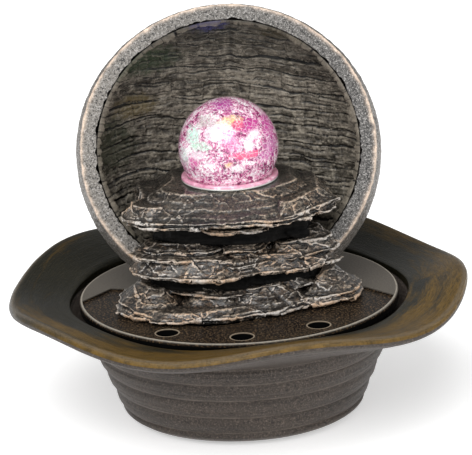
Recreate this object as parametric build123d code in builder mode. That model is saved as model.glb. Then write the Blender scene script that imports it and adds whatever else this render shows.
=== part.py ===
"""Tabletop water fountain: a wavy-rimmed basin, a hidden pump, three slate ledges and a lit glass ball
in a moon-shaped shell.

Frame: millimetres, +Z up, origin on the resting surface under the centre of the basin,
+X to the right and -Y towards the viewer.
"""
import os
from math import cos, radians, sin

from build123d import *

os.makedirs("parts", exist_ok=True)

# ---------------------------------------------------------------------------------------------
# Driving dimensions
# ---------------------------------------------------------------------------------------------
ball_diameter = 65.0
column_x = -2.5                 # the hose, cup, ball and shell stand a little left of the basin's centre
column_y = -5.0
ball_centre_z = 180.5

# basin
foot_height = 3.0               # how far the pads lift the bowl
bowl_base_radius = 76.5
bowl_groove_heights = (5.0, 10.5, 23.0, 36.5, 49.0, 61.0)
bowl_flare = 0.412              # growth of radius per millimetre of height
band_bulge = 1.3
bowl_wall = 5.5
basin_floor_z = 8.0
basin_mouth_radius = 110.5
brim_radius = 150.5
brim_edge_z = 84.0

# deck
deck_radius = 104.5
deck_top_z = 80.0
deck_thickness = 6.0
deck_recess = 1.5
deck_lip = 1.8
# the front edge of the plain half of the deck, seen from above, closed round its back
deck_plain_half = [(-110, -15), (-84, 19), (-60, 14), (60, 14), (84, -2.5), (110, -30.5), (110, 110), (-110, 110)]
deck_pad_thickness = 1.5
drain_radius = 86.0
drain_diameter = 14.5
drain_angles = (-123.0, -89.5, -54.5)

# moon shell: a flattened globe about an axis along Y, sliced by a plane that leans back
globe_radius = 99.8
globe_y = 25.0                  # the widest section
globe_z = 167.5
globe_front = 68.0              # half-depths of the two flattened halves
globe_back = 45.0
shell_wall = 9.5
shell_depth_wall = 7.0
slate_thickness = 5.0
slice_lean = 12.0
slice_y = 5.0                   # the slice's place at the height of the globe's centre
shell_foot_top = 98.0
shell_foot_front = 15.0
rock_notch_half_width = 60.0
rock_notch_top = 103.0

# ledges: bottom height, top of the broken lip, top of the slab
lower_ledge_z = (deck_top_z - deck_recess, 90.0, 98.0)
middle_ledge_z = (105.0, 116.0, 126.0)
upper_ledge_z = (141.0, 150.0, 160.0)

# riser, cup and light
hose_outer_radius = 5.2
hose_inner_radius = 3.55
hose_bottom_z = 49.0
hose_top_z = 141.0
nozzle_radius = 3.45
nozzle_bore_radius = 2.4
nozzle_top_z = 60.0
hose_hole_radius = 6.0
cup_gap = 0.5
cup_wall = 2.0
cup_flange_radius = 31.5
cup_flange_bottom_z = 160.0
cup_flange_top_z = 163.0
spigot_radius = 3.5
spigot_bore_radius = 2.0
spigot_bottom_z = 131.0
light_outer_radius = 22.0
light_inner_radius = 7.0
light_bottom_z = 133.0
light_top_z = 144.0
light_lens_thickness = 2.0
light_wall = 2.0
led_count = 6
pocket_clearance = 0.8

# pump
suction_cup_height = 6.0
pump_bottom_z = basin_floor_z + suction_cup_height
pump_half_width = 21.0
pump_height = 44.0
pump_front_y = 3.0
pump_depth = 40.0
pump_wall = 2.0
rotor_z = 29.0
well_inner_radius = 7.3
well_outer_radius = 8.5
well_end_y = 32.0
magnet_radius = 6.6
magnet_front_y = 6.0
magnet_length = 20.0
shaft_radius = 1.25
shaft_fit = 0.1
volute_radius = 13.5
volute_front_y = -12.0
impeller_radius = 10.5
blade_count = 6
cover_half_width = 20.0
cover_front_y = -24.0
cover_back_y = 2.7
cover_bottom_z = 14.5
cover_top_z = 46.0
cover_wall = 1.8
cord_radius = 2.75              # bore of the glands for the supply cord


def brim_wave(angle):
    """Height of the brim's edge above its mean: five lobes on a slight saddle."""
    return (4.4 * cos(radians(5 * (angle - 141)))
            + 2.0 * cos(radians(angle - 94))
            - 2.0 * cos(radians(2 * (angle - 4))))


def brim_ring(radius, height, share):
    """A closed ring round the basin that follows the brim's wave by the given share."""
    steps = 30
    points = []
    for step in range(steps):
        angle = 360 * step / steps
        local_radius = radius - 0.5 * share * cos(radians(5 * (angle - 141)))
        points.append((local_radius * cos(radians(angle)),
                       local_radius * sin(radians(angle)),
                       height + share * brim_wave(angle)))
    return Wire([Edge.make_spline(points, periodic=True)])


def bowl_radius(height):
    """Outer radius of the bowl at a groove."""
    return bowl_base_radius + bowl_flare * (height - bowl_groove_heights[0])


def globe_plane():
    """Half-section plane of the globe: local x runs along +Y, local y along +Z."""
    return Plane(origin=(column_x, globe_y, globe_z), x_dir=(0, 1, 0), z_dir=(1, 0, 0))


def quarter_ellipse(depth, radius):
    """Points of a quarter ellipse from the globe's widest section round to one of its poles."""
    steps = 8
    quarters = [radians(90 * step / steps) for step in range(steps + 1)]
    return [(depth * sin(turn), radius * cos(turn)) for turn in quarters]


def globe_solid(inset, depth_inset):
    """The flattened globe, shrunk by an inset across and another along its axis, and sliced."""
    radius = globe_radius - inset
    front_pole = -(globe_front - depth_inset)
    back_pole = globe_back - depth_inset
    with BuildPart() as globe:
        with BuildSketch(globe_plane()):
            with BuildLine():
                Spline(*quarter_ellipse(back_pole, radius), tangents=((1, 0), (0, -1)))
                Spline(*quarter_ellipse(front_pole, radius), tangents=((-1, 0), (0, -1)))
                Line((front_pole, 0), (back_pole, 0))
            make_face()
        revolve(axis=Axis((column_x, 0, globe_z), (0, 1, 0)))
        split(bisect_by=slice_plane, keep=Keep.BOTTOM)
    return globe.part


def block(x_range, y_range, z_range):
    """A plain block between two corners, for cutting."""
    size = [high - low for low, high in (x_range, y_range, z_range)]
    return Pos(x_range[0], y_range[0], z_range[0]) * Box(*size, align=(Align.MIN,) * 3, mode=Mode.PRIVATE)


def along_y(radius, front_y, back_y, x=column_x, z=rotor_z):
    """A cylinder about an axis parallel to Y, by default the rotor's axis."""
    return Plane(origin=(x, front_y, z), z_dir=(0, 1, 0)) * Cylinder(
        radius, back_y - front_y, align=(Align.CENTER, Align.CENTER, Align.MIN), mode=Mode.PRIVATE)


def upright(radius, bottom_z, top_z, x=column_x, y=column_y):
    """A vertical cylinder, by default on the riser's axis."""
    return Pos(x, y, bottom_z) * Cylinder(
        radius, top_z - bottom_z, align=(Align.CENTER, Align.CENTER, Align.MIN), mode=Mode.PRIVATE)


def shrunk(outline, share):
    """An outline drawn in towards the riser by a share of its distance."""
    return [(column_x + (x - column_x) * share, column_y + (y - column_y) * share) for x, y in outline]


slice_plane = Plane(origin=(column_x, slice_y, globe_z),
                    x_dir=(1, 0, 0),
                    z_dir=(0, -cos(radians(slice_lean)), sin(radians(slice_lean))))

# ---------------------------------------------------------------------------------------------
# Basin and what is fixed to it
# ---------------------------------------------------------------------------------------------
# (radius, height, share of the wave) of each ring: under the brim, round its lip, back over its top
brim_rings = [
    (98.9, 61.0, 0.0),
    (112.0, 66.5, 0.15),
    (130.0, 72.5, 0.55),
    (143.0, 78.0, 0.9),
    (149.0, 81.3, 1.0),
    (brim_radius, brim_edge_z, 1.0),
    (148.8, 86.9, 1.0),
    (144.5, 87.4, 0.95),
    (130.0, 84.2, 0.7),
    (118.0, 81.2, 0.35),
    (basin_mouth_radius + 0.5, 79.0, 0.0),
]
brim = Solid.make_loft([brim_ring(*ring) for ring in brim_rings])

lug_width = 14.0
lug_inner_radius = 97.0
lug_height = 5.0
lug_top_z = deck_top_z - deck_thickness - deck_pad_thickness
outlet_boss_radius = 10.0
outlet_z = 50.0
outlet_inner_y = 84.0
outlet_outer_y = 101.0
grommet_core_radius = 4.5
grommet_flange = 2.0

with BuildPart() as basin:
    with BuildSketch(Plane.XZ):
        with BuildLine():
            start = (bowl_base_radius - 4, foot_height)
            first = (bowl_base_radius, bowl_groove_heights[0])
            Line((0, foot_height), start)
            ThreePointArc(start, (bowl_base_radius - 1.2, foot_height + 0.6), first)
            for low_z, high_z in zip(bowl_groove_heights, bowl_groove_heights[1:]):
                middle_z = (low_z + high_z) / 2
                ThreePointArc((bowl_radius(low_z), low_z),
                              (bowl_radius(middle_z) + band_bulge, middle_z - band_bulge / 2),
                              (bowl_radius(high_z), high_z))
            last_z = bowl_groove_heights[-1]
            Line((bowl_radius(last_z), last_z), (0, last_z))
            Line((0, last_z), (0, foot_height))
        make_face()
    revolve(axis=Axis.Z)
    add(brim)
    # the reservoir and the wider seat for the deck
    with BuildSketch(Plane.XZ):
        with BuildLine():
            floor_edge = bowl_base_radius - bowl_wall - 3
            wall_low = (bowl_radius(basin_floor_z + 6) - bowl_wall, basin_floor_z + 6)
            wall_high = (bowl_radius(last_z) - bowl_wall, last_z)
            seat = (basin_mouth_radius, deck_top_z - deck_thickness)
            Polyline((0, basin_floor_z), (floor_edge, basin_floor_z), wall_low, wall_high)
            ThreePointArc(wall_high, (104.5, 67.2), seat)
            Polyline(seat, (basin_mouth_radius, 100), (0, 100), (0, basin_floor_z))
        make_face()
    revolve(axis=Axis.Z, mode=Mode.SUBTRACT)
    # four lugs under the deck
    with BuildSketch(Plane.XY.offset(lug_top_z)):
        with PolarLocations((lug_inner_radius + basin_mouth_radius) / 2, 4, start_angle=45):
            Rectangle(basin_mouth_radius - lug_inner_radius + 1, lug_width)
    extrude(amount=-lug_height)
    # boss for the supply cord's grommet, at the back
    add(along_y(outlet_boss_radius, outlet_inner_y, outlet_outer_y, x=0, z=outlet_z))
    add(along_y(grommet_core_radius, outlet_inner_y - 2, outlet_outer_y + 2, x=0, z=outlet_z),
        mode=Mode.SUBTRACT)
    # pockets for the foot pads
    with BuildSketch(Plane.XY.offset(foot_height)):
        with PolarLocations(58, 4, start_angle=45):
            Circle(8)
    extrude(amount=1, mode=Mode.SUBTRACT)
basin.part.label = "basin"
export_step(basin.part, "parts/basin.step")

with BuildPart() as foot_pads:
    with BuildSketch():
        with PolarLocations(58, 4, start_angle=45):
            Circle(8)
    extrude(amount=foot_height + 1)
foot_pads.part.label = "foot_pads"
export_step(foot_pads.part, "parts/foot_pads.step")

with BuildPart() as cable_grommet:
    add(along_y(grommet_core_radius, outlet_inner_y, outlet_outer_y, x=0, z=outlet_z))
    add(along_y(7, outlet_outer_y, outlet_outer_y + grommet_flange, x=0, z=outlet_z))
    add(along_y(7, outlet_inner_y - grommet_flange, outlet_inner_y, x=0, z=outlet_z))
    add(along_y(cord_radius, outlet_inner_y - 5, outlet_outer_y + 5, x=0, z=outlet_z), mode=Mode.SUBTRACT)
cable_grommet.part.label = "cable_grommet"
export_step(cable_grommet.part, "parts/cable_grommet.step")

with BuildPart() as deck_pads:
    with BuildSketch(Plane.XY.offset(lug_top_z)):
        with PolarLocations(100.5, 4, start_angle=45):
            Circle(3.3)
    extrude(amount=deck_pad_thickness)
deck_pads.part.label = "deck_pads"
export_step(deck_pads.part, "parts/deck_pads.step")

# ---------------------------------------------------------------------------------------------
# Pump, standing on suction cups in the reservoir
# ---------------------------------------------------------------------------------------------
pump_back_y = pump_front_y + pump_depth
pump_top_z = pump_bottom_z + pump_height
inner_x = (column_x - pump_half_width + pump_wall, column_x + pump_half_width - pump_wall)
inner_z = (pump_bottom_z + pump_wall, pump_top_z - pump_wall)
core_y = (pump_front_y + 7, pump_front_y + 23)
core_half_width = 16.0
core_bottom_z = 18.0
yoke_z = (44.0, 50.0)
coil_half_width = 8.3
coil_y = (pump_front_y + 3, pump_front_y + 30)
coil_z = (39.0, 54.5)

with BuildPart() as suction_cups:
    for cup_x in (-14, 14):
        for cup_y in (pump_front_y + 7, pump_back_y - 7):
            with BuildSketch(Plane(origin=(column_x + cup_x, cup_y, basin_floor_z),
                                   x_dir=(1, 0, 0), z_dir=(0, -1, 0))):
                Polygon((0, 0.8), (6, 0), (7, 0), (3.4, 3), (3.4, 6), (0, 6), align=None)
            revolve(axis=Axis((column_x + cup_x, cup_y, 0), (0, 0, 1)))
suction_cups.part.label = "suction_cups"
export_step(suction_cups.part, "parts/suction_cups.step")

with BuildPart() as pump_housing:
    add(block((column_x - pump_half_width, column_x + pump_half_width),
              (pump_front_y, pump_back_y),
              (pump_bottom_z, pump_top_z)))
    fillet(pump_housing.edges().filter_by(Axis.Y), radius=3)
    add(block(inner_x, (pump_front_y + pump_wall, pump_back_y), inner_z), mode=Mode.SUBTRACT)
    add(along_y(well_outer_radius, pump_front_y, well_end_y))
    add(along_y(well_inner_radius, pump_front_y, well_end_y - pump_wall), mode=Mode.SUBTRACT)
pump_housing.part.label = "pump_housing"
export_step(pump_housing.part, "parts/pump_housing.step")

with BuildPart() as stator_core:
    add(block((column_x - core_half_width, column_x + core_half_width), core_y, (core_bottom_z, yoke_z[1])))
    add(block((column_x - well_outer_radius, column_x + well_outer_radius), core_y, (rotor_z, yoke_z[0])),
        mode=Mode.SUBTRACT)
    add(block((column_x - 3, column_x + 3), core_y, (core_bottom_z, rotor_z)), mode=Mode.SUBTRACT)
    add(along_y(well_outer_radius, *core_y), mode=Mode.SUBTRACT)
stator_core.part.label = "stator_core"
export_step(stator_core.part, "parts/stator_core.step")

with BuildPart() as stator_coil:
    add(block((column_x - coil_half_width, column_x + coil_half_width), coil_y, coil_z))
    add(block((column_x - coil_half_width, column_x + coil_half_width), core_y, yoke_z),
        mode=Mode.SUBTRACT)
stator_coil.part.label = "stator_coil"
export_step(stator_coil.part, "parts/stator_coil.step")

with BuildPart() as pump_potting:
    add(block(inner_x, (pump_front_y + pump_wall, pump_back_y), inner_z))
    add(along_y(well_outer_radius, pump_front_y, well_end_y), mode=Mode.SUBTRACT)
    add(stator_core.part, mode=Mode.SUBTRACT)
    add(stator_coil.part, mode=Mode.SUBTRACT)
pump_potting.part.label = "pump_potting"
export_step(pump_potting.part, "parts/pump_potting.step")

shaft_front_y = volute_front_y + 1
shaft_back_y = well_end_y - pump_wall - 0.5
with BuildPart() as rotor_shaft:
    add(along_y(shaft_radius, shaft_front_y, shaft_back_y))
rotor_shaft.part.label = "rotor_shaft"
export_step(rotor_shaft.part, "parts/rotor_shaft.step")

front_bush_y = (volute_front_y + 0.5, volute_front_y + 2.8)
back_bush_y = (well_end_y - pump_wall - 2.5, well_end_y - pump_wall)
with BuildPart() as shaft_bushes:
    add(along_y(2.2, *front_bush_y))
    add(along_y(3.0, *back_bush_y))
    add(rotor_shaft.part, mode=Mode.SUBTRACT)
shaft_bushes.part.label = "shaft_bushes"
export_step(shaft_bushes.part, "parts/shaft_bushes.step")

with BuildPart() as rotor_magnet:
    add(along_y(magnet_radius, magnet_front_y, magnet_front_y + magnet_length))
    add(along_y(shaft_radius + shaft_fit, magnet_front_y, magnet_front_y + magnet_length),
        mode=Mode.SUBTRACT)
rotor_magnet.part.label = "rotor_magnet"
export_step(rotor_magnet.part, "parts/rotor_magnet.step")

hub_radius = 3.5
blade_thickness = 1.2
blade_front_y = volute_front_y + 3.5
blade_back_y = -1.0
with BuildPart() as impeller:
    add(along_y(hub_radius, blade_front_y, magnet_front_y))
    add(along_y(6.6, blade_back_y, blade_back_y + 1.5))
    with BuildSketch(Plane(origin=(column_x, blade_back_y, rotor_z), x_dir=(1, 0, 0), z_dir=(0, -1, 0))):
        with PolarLocations((hub_radius + impeller_radius) / 2 - 0.25, blade_count):
            Rectangle(impeller_radius - hub_radius + 0.5, blade_thickness)
    extrude(amount=blade_back_y - blade_front_y)
    add(along_y(shaft_radius + shaft_fit, blade_front_y - 1, magnet_front_y + 1), mode=Mode.SUBTRACT)
impeller.part.label = "impeller"
export_step(impeller.part, "parts/impeller.step")

volute_wall = 2.0
inlet_radius = 5.0
with BuildPart() as volute_cover:
    add(along_y(volute_radius, volute_front_y, pump_front_y))
    add(upright(nozzle_radius, rotor_z + 8, nozzle_top_z))
    add(along_y(volute_radius - volute_wall, volute_front_y + volute_wall, pump_front_y), mode=Mode.SUBTRACT)
    add(along_y(inlet_radius, volute_front_y, volute_front_y + volute_wall), mode=Mode.SUBTRACT)
    add(upright(nozzle_bore_radius, rotor_z + 8, nozzle_top_z), mode=Mode.SUBTRACT)
    # spider that holds the front bush
    with BuildSketch(Plane(origin=(column_x, volute_front_y, rotor_z), x_dir=(1, 0, 0), z_dir=(0, -1, 0))):
        with PolarLocations(inlet_radius / 2 + 0.5, 3, start_angle=90):
            Rectangle(inlet_radius, 1.4)
        Circle(3.2)
        Circle(2.2, mode=Mode.SUBTRACT)
    extrude(amount=-volute_wall)
volute_cover.part.label = "volute_cover"
export_step(volute_cover.part, "parts/volute_cover.step")

slot_half_width = 4.2
grille_z = 31.0
with BuildPart() as intake_cover:
    cover_x = (column_x - cover_half_width, column_x + cover_half_width)
    add(block(cover_x, (cover_front_y, cover_back_y), (cover_bottom_z, cover_top_z)))
    fillet(intake_cover.edges().filter_by(Axis.Y), radius=3)
    add(block((cover_x[0] + cover_wall, cover_x[1] - cover_wall),
              (cover_front_y + cover_wall, cover_back_y),
              (cover_bottom_z + cover_wall / 2, cover_top_z - cover_wall)), mode=Mode.SUBTRACT)
    # way for the nozzle, open to the back
    add(block((column_x - slot_half_width, column_x + slot_half_width),
              (column_y - slot_half_width, cover_back_y),
              (cover_top_z - 2 * cover_wall, cover_top_z)), mode=Mode.SUBTRACT)
    # grille
    with BuildSketch(Plane(origin=(column_x, cover_front_y, grille_z), x_dir=(1, 0, 0), z_dir=(0, -1, 0))):
        with GridLocations(5, 0, 6, 1):
            SlotOverall(20, 2.5, rotation=90)
    extrude(amount=-cover_wall, mode=Mode.SUBTRACT)
    # rails of the flow slider
    for rail_z in (grille_z - 12.5, grille_z + 12.5):
        add(block((column_x - 15, column_x + 15),
                  (cover_front_y - 2, cover_front_y),
                  (rail_z - 0.8, rail_z + 0.8)))
intake_cover.part.label = "intake_cover"
export_step(intake_cover.part, "parts/intake_cover.step")

slider_x = (column_x - 15, column_x + 1)
with BuildPart() as flow_slider:
    add(block(slider_x, (cover_front_y - 1.8, cover_front_y - 0.3), (grille_z - 11.4, grille_z + 11.4)))
    add(block((column_x - 9, column_x - 6),
              (cover_front_y - 4.5, cover_front_y - 1.8),
              (grille_z - 5, grille_z + 5)))
flow_slider.part.label = "flow_slider"
export_step(flow_slider.part, "parts/flow_slider.step")

with BuildPart() as pump_cable_gland:
    gland_z = 48.0
    add(along_y(5, pump_back_y, pump_back_y + 2, z=gland_z))
    add(along_y(3.8, pump_back_y + 2, pump_back_y + 9, z=gland_z))
    add(along_y(cord_radius, pump_back_y, pump_back_y + 9, z=gland_z), mode=Mode.SUBTRACT)
pump_cable_gland.part.label = "pump_cable_gland"
export_step(pump_cable_gland.part, "parts/pump_cable_gland.step")

# ---------------------------------------------------------------------------------------------
# Riser hose, light, cup and ball
# ---------------------------------------------------------------------------------------------
with BuildPart() as riser_hose:
    add(upright(hose_outer_radius, hose_bottom_z, hose_top_z))
    add(upright(hose_inner_radius, hose_bottom_z, hose_top_z), mode=Mode.SUBTRACT)
riser_hose.part.label = "riser_hose"
export_step(riser_hose.part, "parts/riser_hose.step")

lens_bottom_z = light_top_z - light_lens_thickness
with BuildPart() as light_housing:
    add(upright(light_outer_radius, light_bottom_z, lens_bottom_z))
    add(upright(light_outer_radius - light_wall, light_bottom_z + light_wall, lens_bottom_z),
        mode=Mode.SUBTRACT)
    add(upright(light_inner_radius + light_wall, light_bottom_z + light_wall, lens_bottom_z))
    add(upright(light_inner_radius, light_bottom_z, lens_bottom_z), mode=Mode.SUBTRACT)
light_housing.part.label = "light_housing"
export_step(light_housing.part, "parts/light_housing.step")

board_bottom_z = light_bottom_z + light_wall
board_top_z = board_bottom_z + 1.6
with BuildPart() as light_board:
    add(upright(light_outer_radius - light_wall - 0.2, board_bottom_z, board_top_z))
    add(upright(light_inner_radius + light_wall + 0.2, board_bottom_z, board_top_z), mode=Mode.SUBTRACT)
light_board.part.label = "light_board"
export_step(light_board.part, "parts/light_board.step")

led_ring_radius = (light_inner_radius + light_outer_radius) / 2
with BuildPart() as leds:
    with BuildSketch(Plane(origin=(column_x, column_y, board_top_z))):
        with PolarLocations(led_ring_radius, led_count):
            Rectangle(5, 5)
    extrude(amount=1.6)
    fillet(leds.edges().filter_by(Axis.Z), radius=0.6)
leds.part.label = "leds"
export_step(leds.part, "parts/leds.step")

with BuildPart() as light_lens:
    add(upright(light_outer_radius, lens_bottom_z, light_top_z))
    add(upright(light_inner_radius, lens_bottom_z, light_top_z), mode=Mode.SUBTRACT)
light_lens.part.label = "light_lens"
export_step(light_lens.part, "parts/light_lens.step")

cup_inner_radius = ball_diameter / 2 + cup_gap
cup_outer_radius = cup_inner_radius + cup_wall
cup_centre = (column_x, column_y, ball_centre_z)
with BuildPart() as ball_cup:
    with Locations(cup_centre):
        Sphere(cup_outer_radius)
    add(block((-60, 60), (-60, 60), (cup_flange_top_z, 240)), mode=Mode.SUBTRACT)
    add(upright(cup_flange_radius, cup_flange_bottom_z, cup_flange_top_z))
    add(upright(spigot_radius, spigot_bottom_z, ball_centre_z - cup_inner_radius))
    with Locations(cup_centre):
        Sphere(cup_inner_radius, mode=Mode.SUBTRACT)
    add(upright(spigot_bore_radius, spigot_bottom_z, ball_centre_z), mode=Mode.SUBTRACT)
ball_cup.part.label = "ball_cup"
export_step(ball_cup.part, "parts/ball_cup.step")

with BuildPart() as glass_ball:
    with Locations(cup_centre):
        Sphere(ball_diameter / 2)
glass_ball.part.label = "glass_ball"
export_step(glass_ball.part, "parts/glass_ball.step")

# ---------------------------------------------------------------------------------------------
# Deck
# ---------------------------------------------------------------------------------------------
screw_places = [(column_x - 35, 27), (column_x + 35, 27)]
screw_head_radius = 3.6
screw_head_height = 2.5
screw_radius = 1.75
screw_length = 16.0
deck_bottom_z = deck_top_z - deck_thickness

with BuildPart() as deck:
    with BuildSketch(Plane.XY.offset(deck_bottom_z)):
        Circle(deck_radius)
        with Locations((column_x, column_y)):
            Circle(hose_hole_radius, mode=Mode.SUBTRACT)
        for drain_angle in drain_angles:
            with Locations((drain_radius * cos(radians(drain_angle)), drain_radius * sin(radians(drain_angle)))):
                Circle(drain_diameter / 2, mode=Mode.SUBTRACT)
    extrude(amount=deck_thickness)
    chamfer(deck.edges().group_by(Axis.Z)[-1].sort_by(SortBy.RADIUS)[-1], length=1)
    # the front half is a shallow catch tray
    with BuildSketch(Plane.XY.offset(deck_top_z)):
        Circle(deck_radius - deck_lip)
        Polygon(*deck_plain_half, align=None, mode=Mode.SUBTRACT)
    extrude(amount=-deck_recess, mode=Mode.SUBTRACT)
    # screw holes with recesses for the heads underneath
    for place in screw_places:
        add(upright(screw_radius, deck_bottom_z, deck_top_z, *place), mode=Mode.SUBTRACT)
        add(upright(screw_head_radius + 0.2, deck_bottom_z, deck_bottom_z + screw_head_height, *place),
            mode=Mode.SUBTRACT)
deck.part.label = "deck"
export_step(deck.part, "parts/deck.step")

with BuildPart() as shell_screws:
    for place in screw_places:
        add(upright(screw_head_radius, deck_bottom_z, deck_bottom_z + screw_head_height, *place))
        add(upright(screw_radius, deck_bottom_z, deck_bottom_z + screw_length, *place))
shell_screws.part.label = "shell_screws"
export_step(shell_screws.part, "parts/shell_screws.step")

# ---------------------------------------------------------------------------------------------
# Moon shell and its slate wall
# ---------------------------------------------------------------------------------------------
globe = globe_solid(0, 0)
cavity = globe_solid(shell_wall, shell_depth_wall)
alcove = globe_solid(shell_wall + slate_thickness, shell_depth_wall + slate_thickness)
below_foot = block((-160, 160), (-80, 100), (0, shell_foot_top))
below_deck = block((-160, 160), (-80, 100), (0, deck_top_z))
rock_notch = block((column_x - rock_notch_half_width, column_x + rock_notch_half_width),
                   (-80, shell_foot_front),
                   (deck_top_z - deck_recess, rock_notch_top))
hollow = cavity - below_foot

with BuildPart() as moon_shell:
    add(globe - below_deck - hollow - rock_notch)
    for place in screw_places:
        add(upright(screw_radius, deck_top_z, deck_bottom_z + screw_length, *place), mode=Mode.SUBTRACT)
moon_shell.part.label = "moon_shell"
export_step(moon_shell.part, "parts/moon_shell.step")

with BuildPart() as slate_wall:
    add(hollow - alcove - rock_notch)
slate_wall.part.label = "slate_wall"
export_step(slate_wall.part, "parts/slate_wall.step")

# ---------------------------------------------------------------------------------------------
# Slate ledges and the rock between them: a stack on the deck that fills the foot of the alcove
# ---------------------------------------------------------------------------------------------
# outlines seen from above, anticlockwise from the left of the broken front edge
lower_outline = [(-60, 14), (-80, -12), (-79, -34), (-66, -50), (-52, -62), (-40, -64), (-20, -62), (1, -61),
                 (20, -54), (36, -47), (56, -38), (72, -32), (80, -16), (79, 0), (68, 14)]
middle_outline = [(-46, 20), (-48, -2), (-66, -14), (-71, -24), (-68, -38), (-60, -48), (-46, -53), (-28, -58),
                  (-12, -60), (-3, -57), (11, -46), (30, -43), (45, -40), (60, -32), (67, -22), (60, -10),
                  (46, -2), (44, 20), (30, 50), (-30, 50)]
upper_outline = [(-64, 30), (-63, -8), (-73, -28), (-71, -40), (-58, -52), (-45, -57), (-28, -58), (-8, -60),
                 (14, -60), (34, -58), (44, -49), (57, -35), (67, -24), (62, -6), (60, 30), (34, 56), (-38, 56)]
lower_core_outline = [(-46, 30), (-56, -12), (-58, -26), (-46, -41), (-8, -45), (14, -38), (48, -27), (54, -12),
                      (42, 30), (20, 50), (-24, 50)]
upper_core_outline = [(-54, 30), (-56, -20), (-42, -38), (-8, -43), (26, -41), (48, -26), (52, -10),
                      (50, 30), (34, 54), (-38, 54)]
rock_keep_out = globe - (alcove - below_foot) - rock_notch
hose_passage = upright(hose_outer_radius + 0.3, deck_top_z - deck_recess, light_bottom_z)
light_pocket = upright(light_outer_radius + pocket_clearance, light_bottom_z, light_top_z)
cup_pocket = upright(29.5, light_top_z, upper_ledge_z[2])


def slab_outlines(outline, heights):
    """The three sections of a ledge: full at the bottom and the lip, drawn in at the top."""
    bottom_z, lip_z, top_z = heights
    return [(outline, bottom_z), (outline, lip_z), (shrunk(outline, 0.8), top_z)]


with BuildPart() as lower_ledge:
    (base, base_z), (lip, lip_z), (crown, crown_z) = slab_outlines(lower_outline, lower_ledge_z)
    with BuildSketch(Plane.XY.offset(base_z)):
        Polygon(*base, align=None)
    extrude(amount=lip_z - base_z)
    with BuildSketch(Plane.XY.offset(lip_z)):
        Polygon(*lip, align=None)
    with BuildSketch(Plane.XY.offset(crown_z)):
        Polygon(*crown, align=None)
    loft(ruled=True)
    add(rock_keep_out, mode=Mode.SUBTRACT)
    add(hose_passage, mode=Mode.SUBTRACT)
    add(deck.part, mode=Mode.SUBTRACT)
lower_ledge.part.label = "lower_ledge"
export_step(lower_ledge.part, "parts/lower_ledge.step")

with BuildPart() as core_lower:
    with BuildSketch(Plane.XY.offset(lower_ledge_z[2])):
        Polygon(*lower_core_outline, align=None)
    extrude(amount=middle_ledge_z[0] - lower_ledge_z[2])
    add(rock_keep_out, mode=Mode.SUBTRACT)
    add(hose_passage, mode=Mode.SUBTRACT)
core_lower.part.label = "core_lower"
export_step(core_lower.part, "parts/core_lower.step")

with BuildPart() as middle_ledge:
    (base, base_z), (lip, lip_z), (crown, crown_z) = slab_outlines(middle_outline, middle_ledge_z)
    with BuildSketch(Plane.XY.offset(base_z)):
        Polygon(*base, align=None)
    extrude(amount=lip_z - base_z)
    with BuildSketch(Plane.XY.offset(lip_z)):
        Polygon(*lip, align=None)
    with BuildSketch(Plane.XY.offset(crown_z)):
        Polygon(*crown, align=None)
    loft(ruled=True)
    add(rock_keep_out, mode=Mode.SUBTRACT)
    add(hose_passage, mode=Mode.SUBTRACT)
middle_ledge.part.label = "middle_ledge"
export_step(middle_ledge.part, "parts/middle_ledge.step")

with BuildPart() as core_upper:
    with BuildSketch(Plane.XY.offset(middle_ledge_z[2])):
        Polygon(*upper_core_outline, align=None)
    extrude(amount=upper_ledge_z[0] - middle_ledge_z[2])
    add(rock_keep_out, mode=Mode.SUBTRACT)
    add(hose_passage, mode=Mode.SUBTRACT)
    add(light_pocket, mode=Mode.SUBTRACT)
core_upper.part.label = "core_upper"
export_step(core_upper.part, "parts/core_upper.step")

with BuildPart() as upper_ledge:
    (base, base_z), (lip, lip_z), (crown, crown_z) = slab_outlines(upper_outline, upper_ledge_z)
    with BuildSketch(Plane.XY.offset(base_z)):
        Polygon(*base, align=None)
    extrude(amount=lip_z - base_z)
    with BuildSketch(Plane.XY.offset(lip_z)):
        Polygon(*lip, align=None)
    with BuildSketch(Plane.XY.offset(crown_z)):
        Polygon(*crown, align=None)
    loft(ruled=True)
    add(rock_keep_out, mode=Mode.SUBTRACT)
    add(light_pocket, mode=Mode.SUBTRACT)
    add(cup_pocket, mode=Mode.SUBTRACT)
upper_ledge.part.label = "upper_ledge"
export_step(upper_ledge.part, "parts/upper_ledge.step")
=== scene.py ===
"""Looks of the tabletop water fountain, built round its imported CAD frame.

Lengths in this script are millimetres in the CAD frame unless a name ends in _m; every mesh is
scaled to metres by MM as it is made.
"""
import itertools
import math

import bmesh
import bpy
import numpy as np
from mathutils import Matrix, Vector


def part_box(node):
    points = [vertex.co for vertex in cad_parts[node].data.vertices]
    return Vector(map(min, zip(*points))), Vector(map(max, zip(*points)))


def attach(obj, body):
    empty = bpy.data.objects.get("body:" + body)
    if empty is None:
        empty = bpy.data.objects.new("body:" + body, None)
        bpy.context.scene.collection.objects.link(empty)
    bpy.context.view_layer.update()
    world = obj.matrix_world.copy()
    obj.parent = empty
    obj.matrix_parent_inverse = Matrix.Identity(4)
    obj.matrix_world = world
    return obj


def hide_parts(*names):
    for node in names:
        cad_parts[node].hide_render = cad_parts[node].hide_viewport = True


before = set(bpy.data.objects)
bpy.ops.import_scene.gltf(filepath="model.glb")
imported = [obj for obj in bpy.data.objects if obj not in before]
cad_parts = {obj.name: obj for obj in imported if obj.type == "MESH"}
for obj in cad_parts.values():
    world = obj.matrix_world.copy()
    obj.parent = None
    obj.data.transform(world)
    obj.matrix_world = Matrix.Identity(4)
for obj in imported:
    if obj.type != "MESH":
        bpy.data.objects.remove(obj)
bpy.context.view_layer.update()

MM = 0.001

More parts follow.
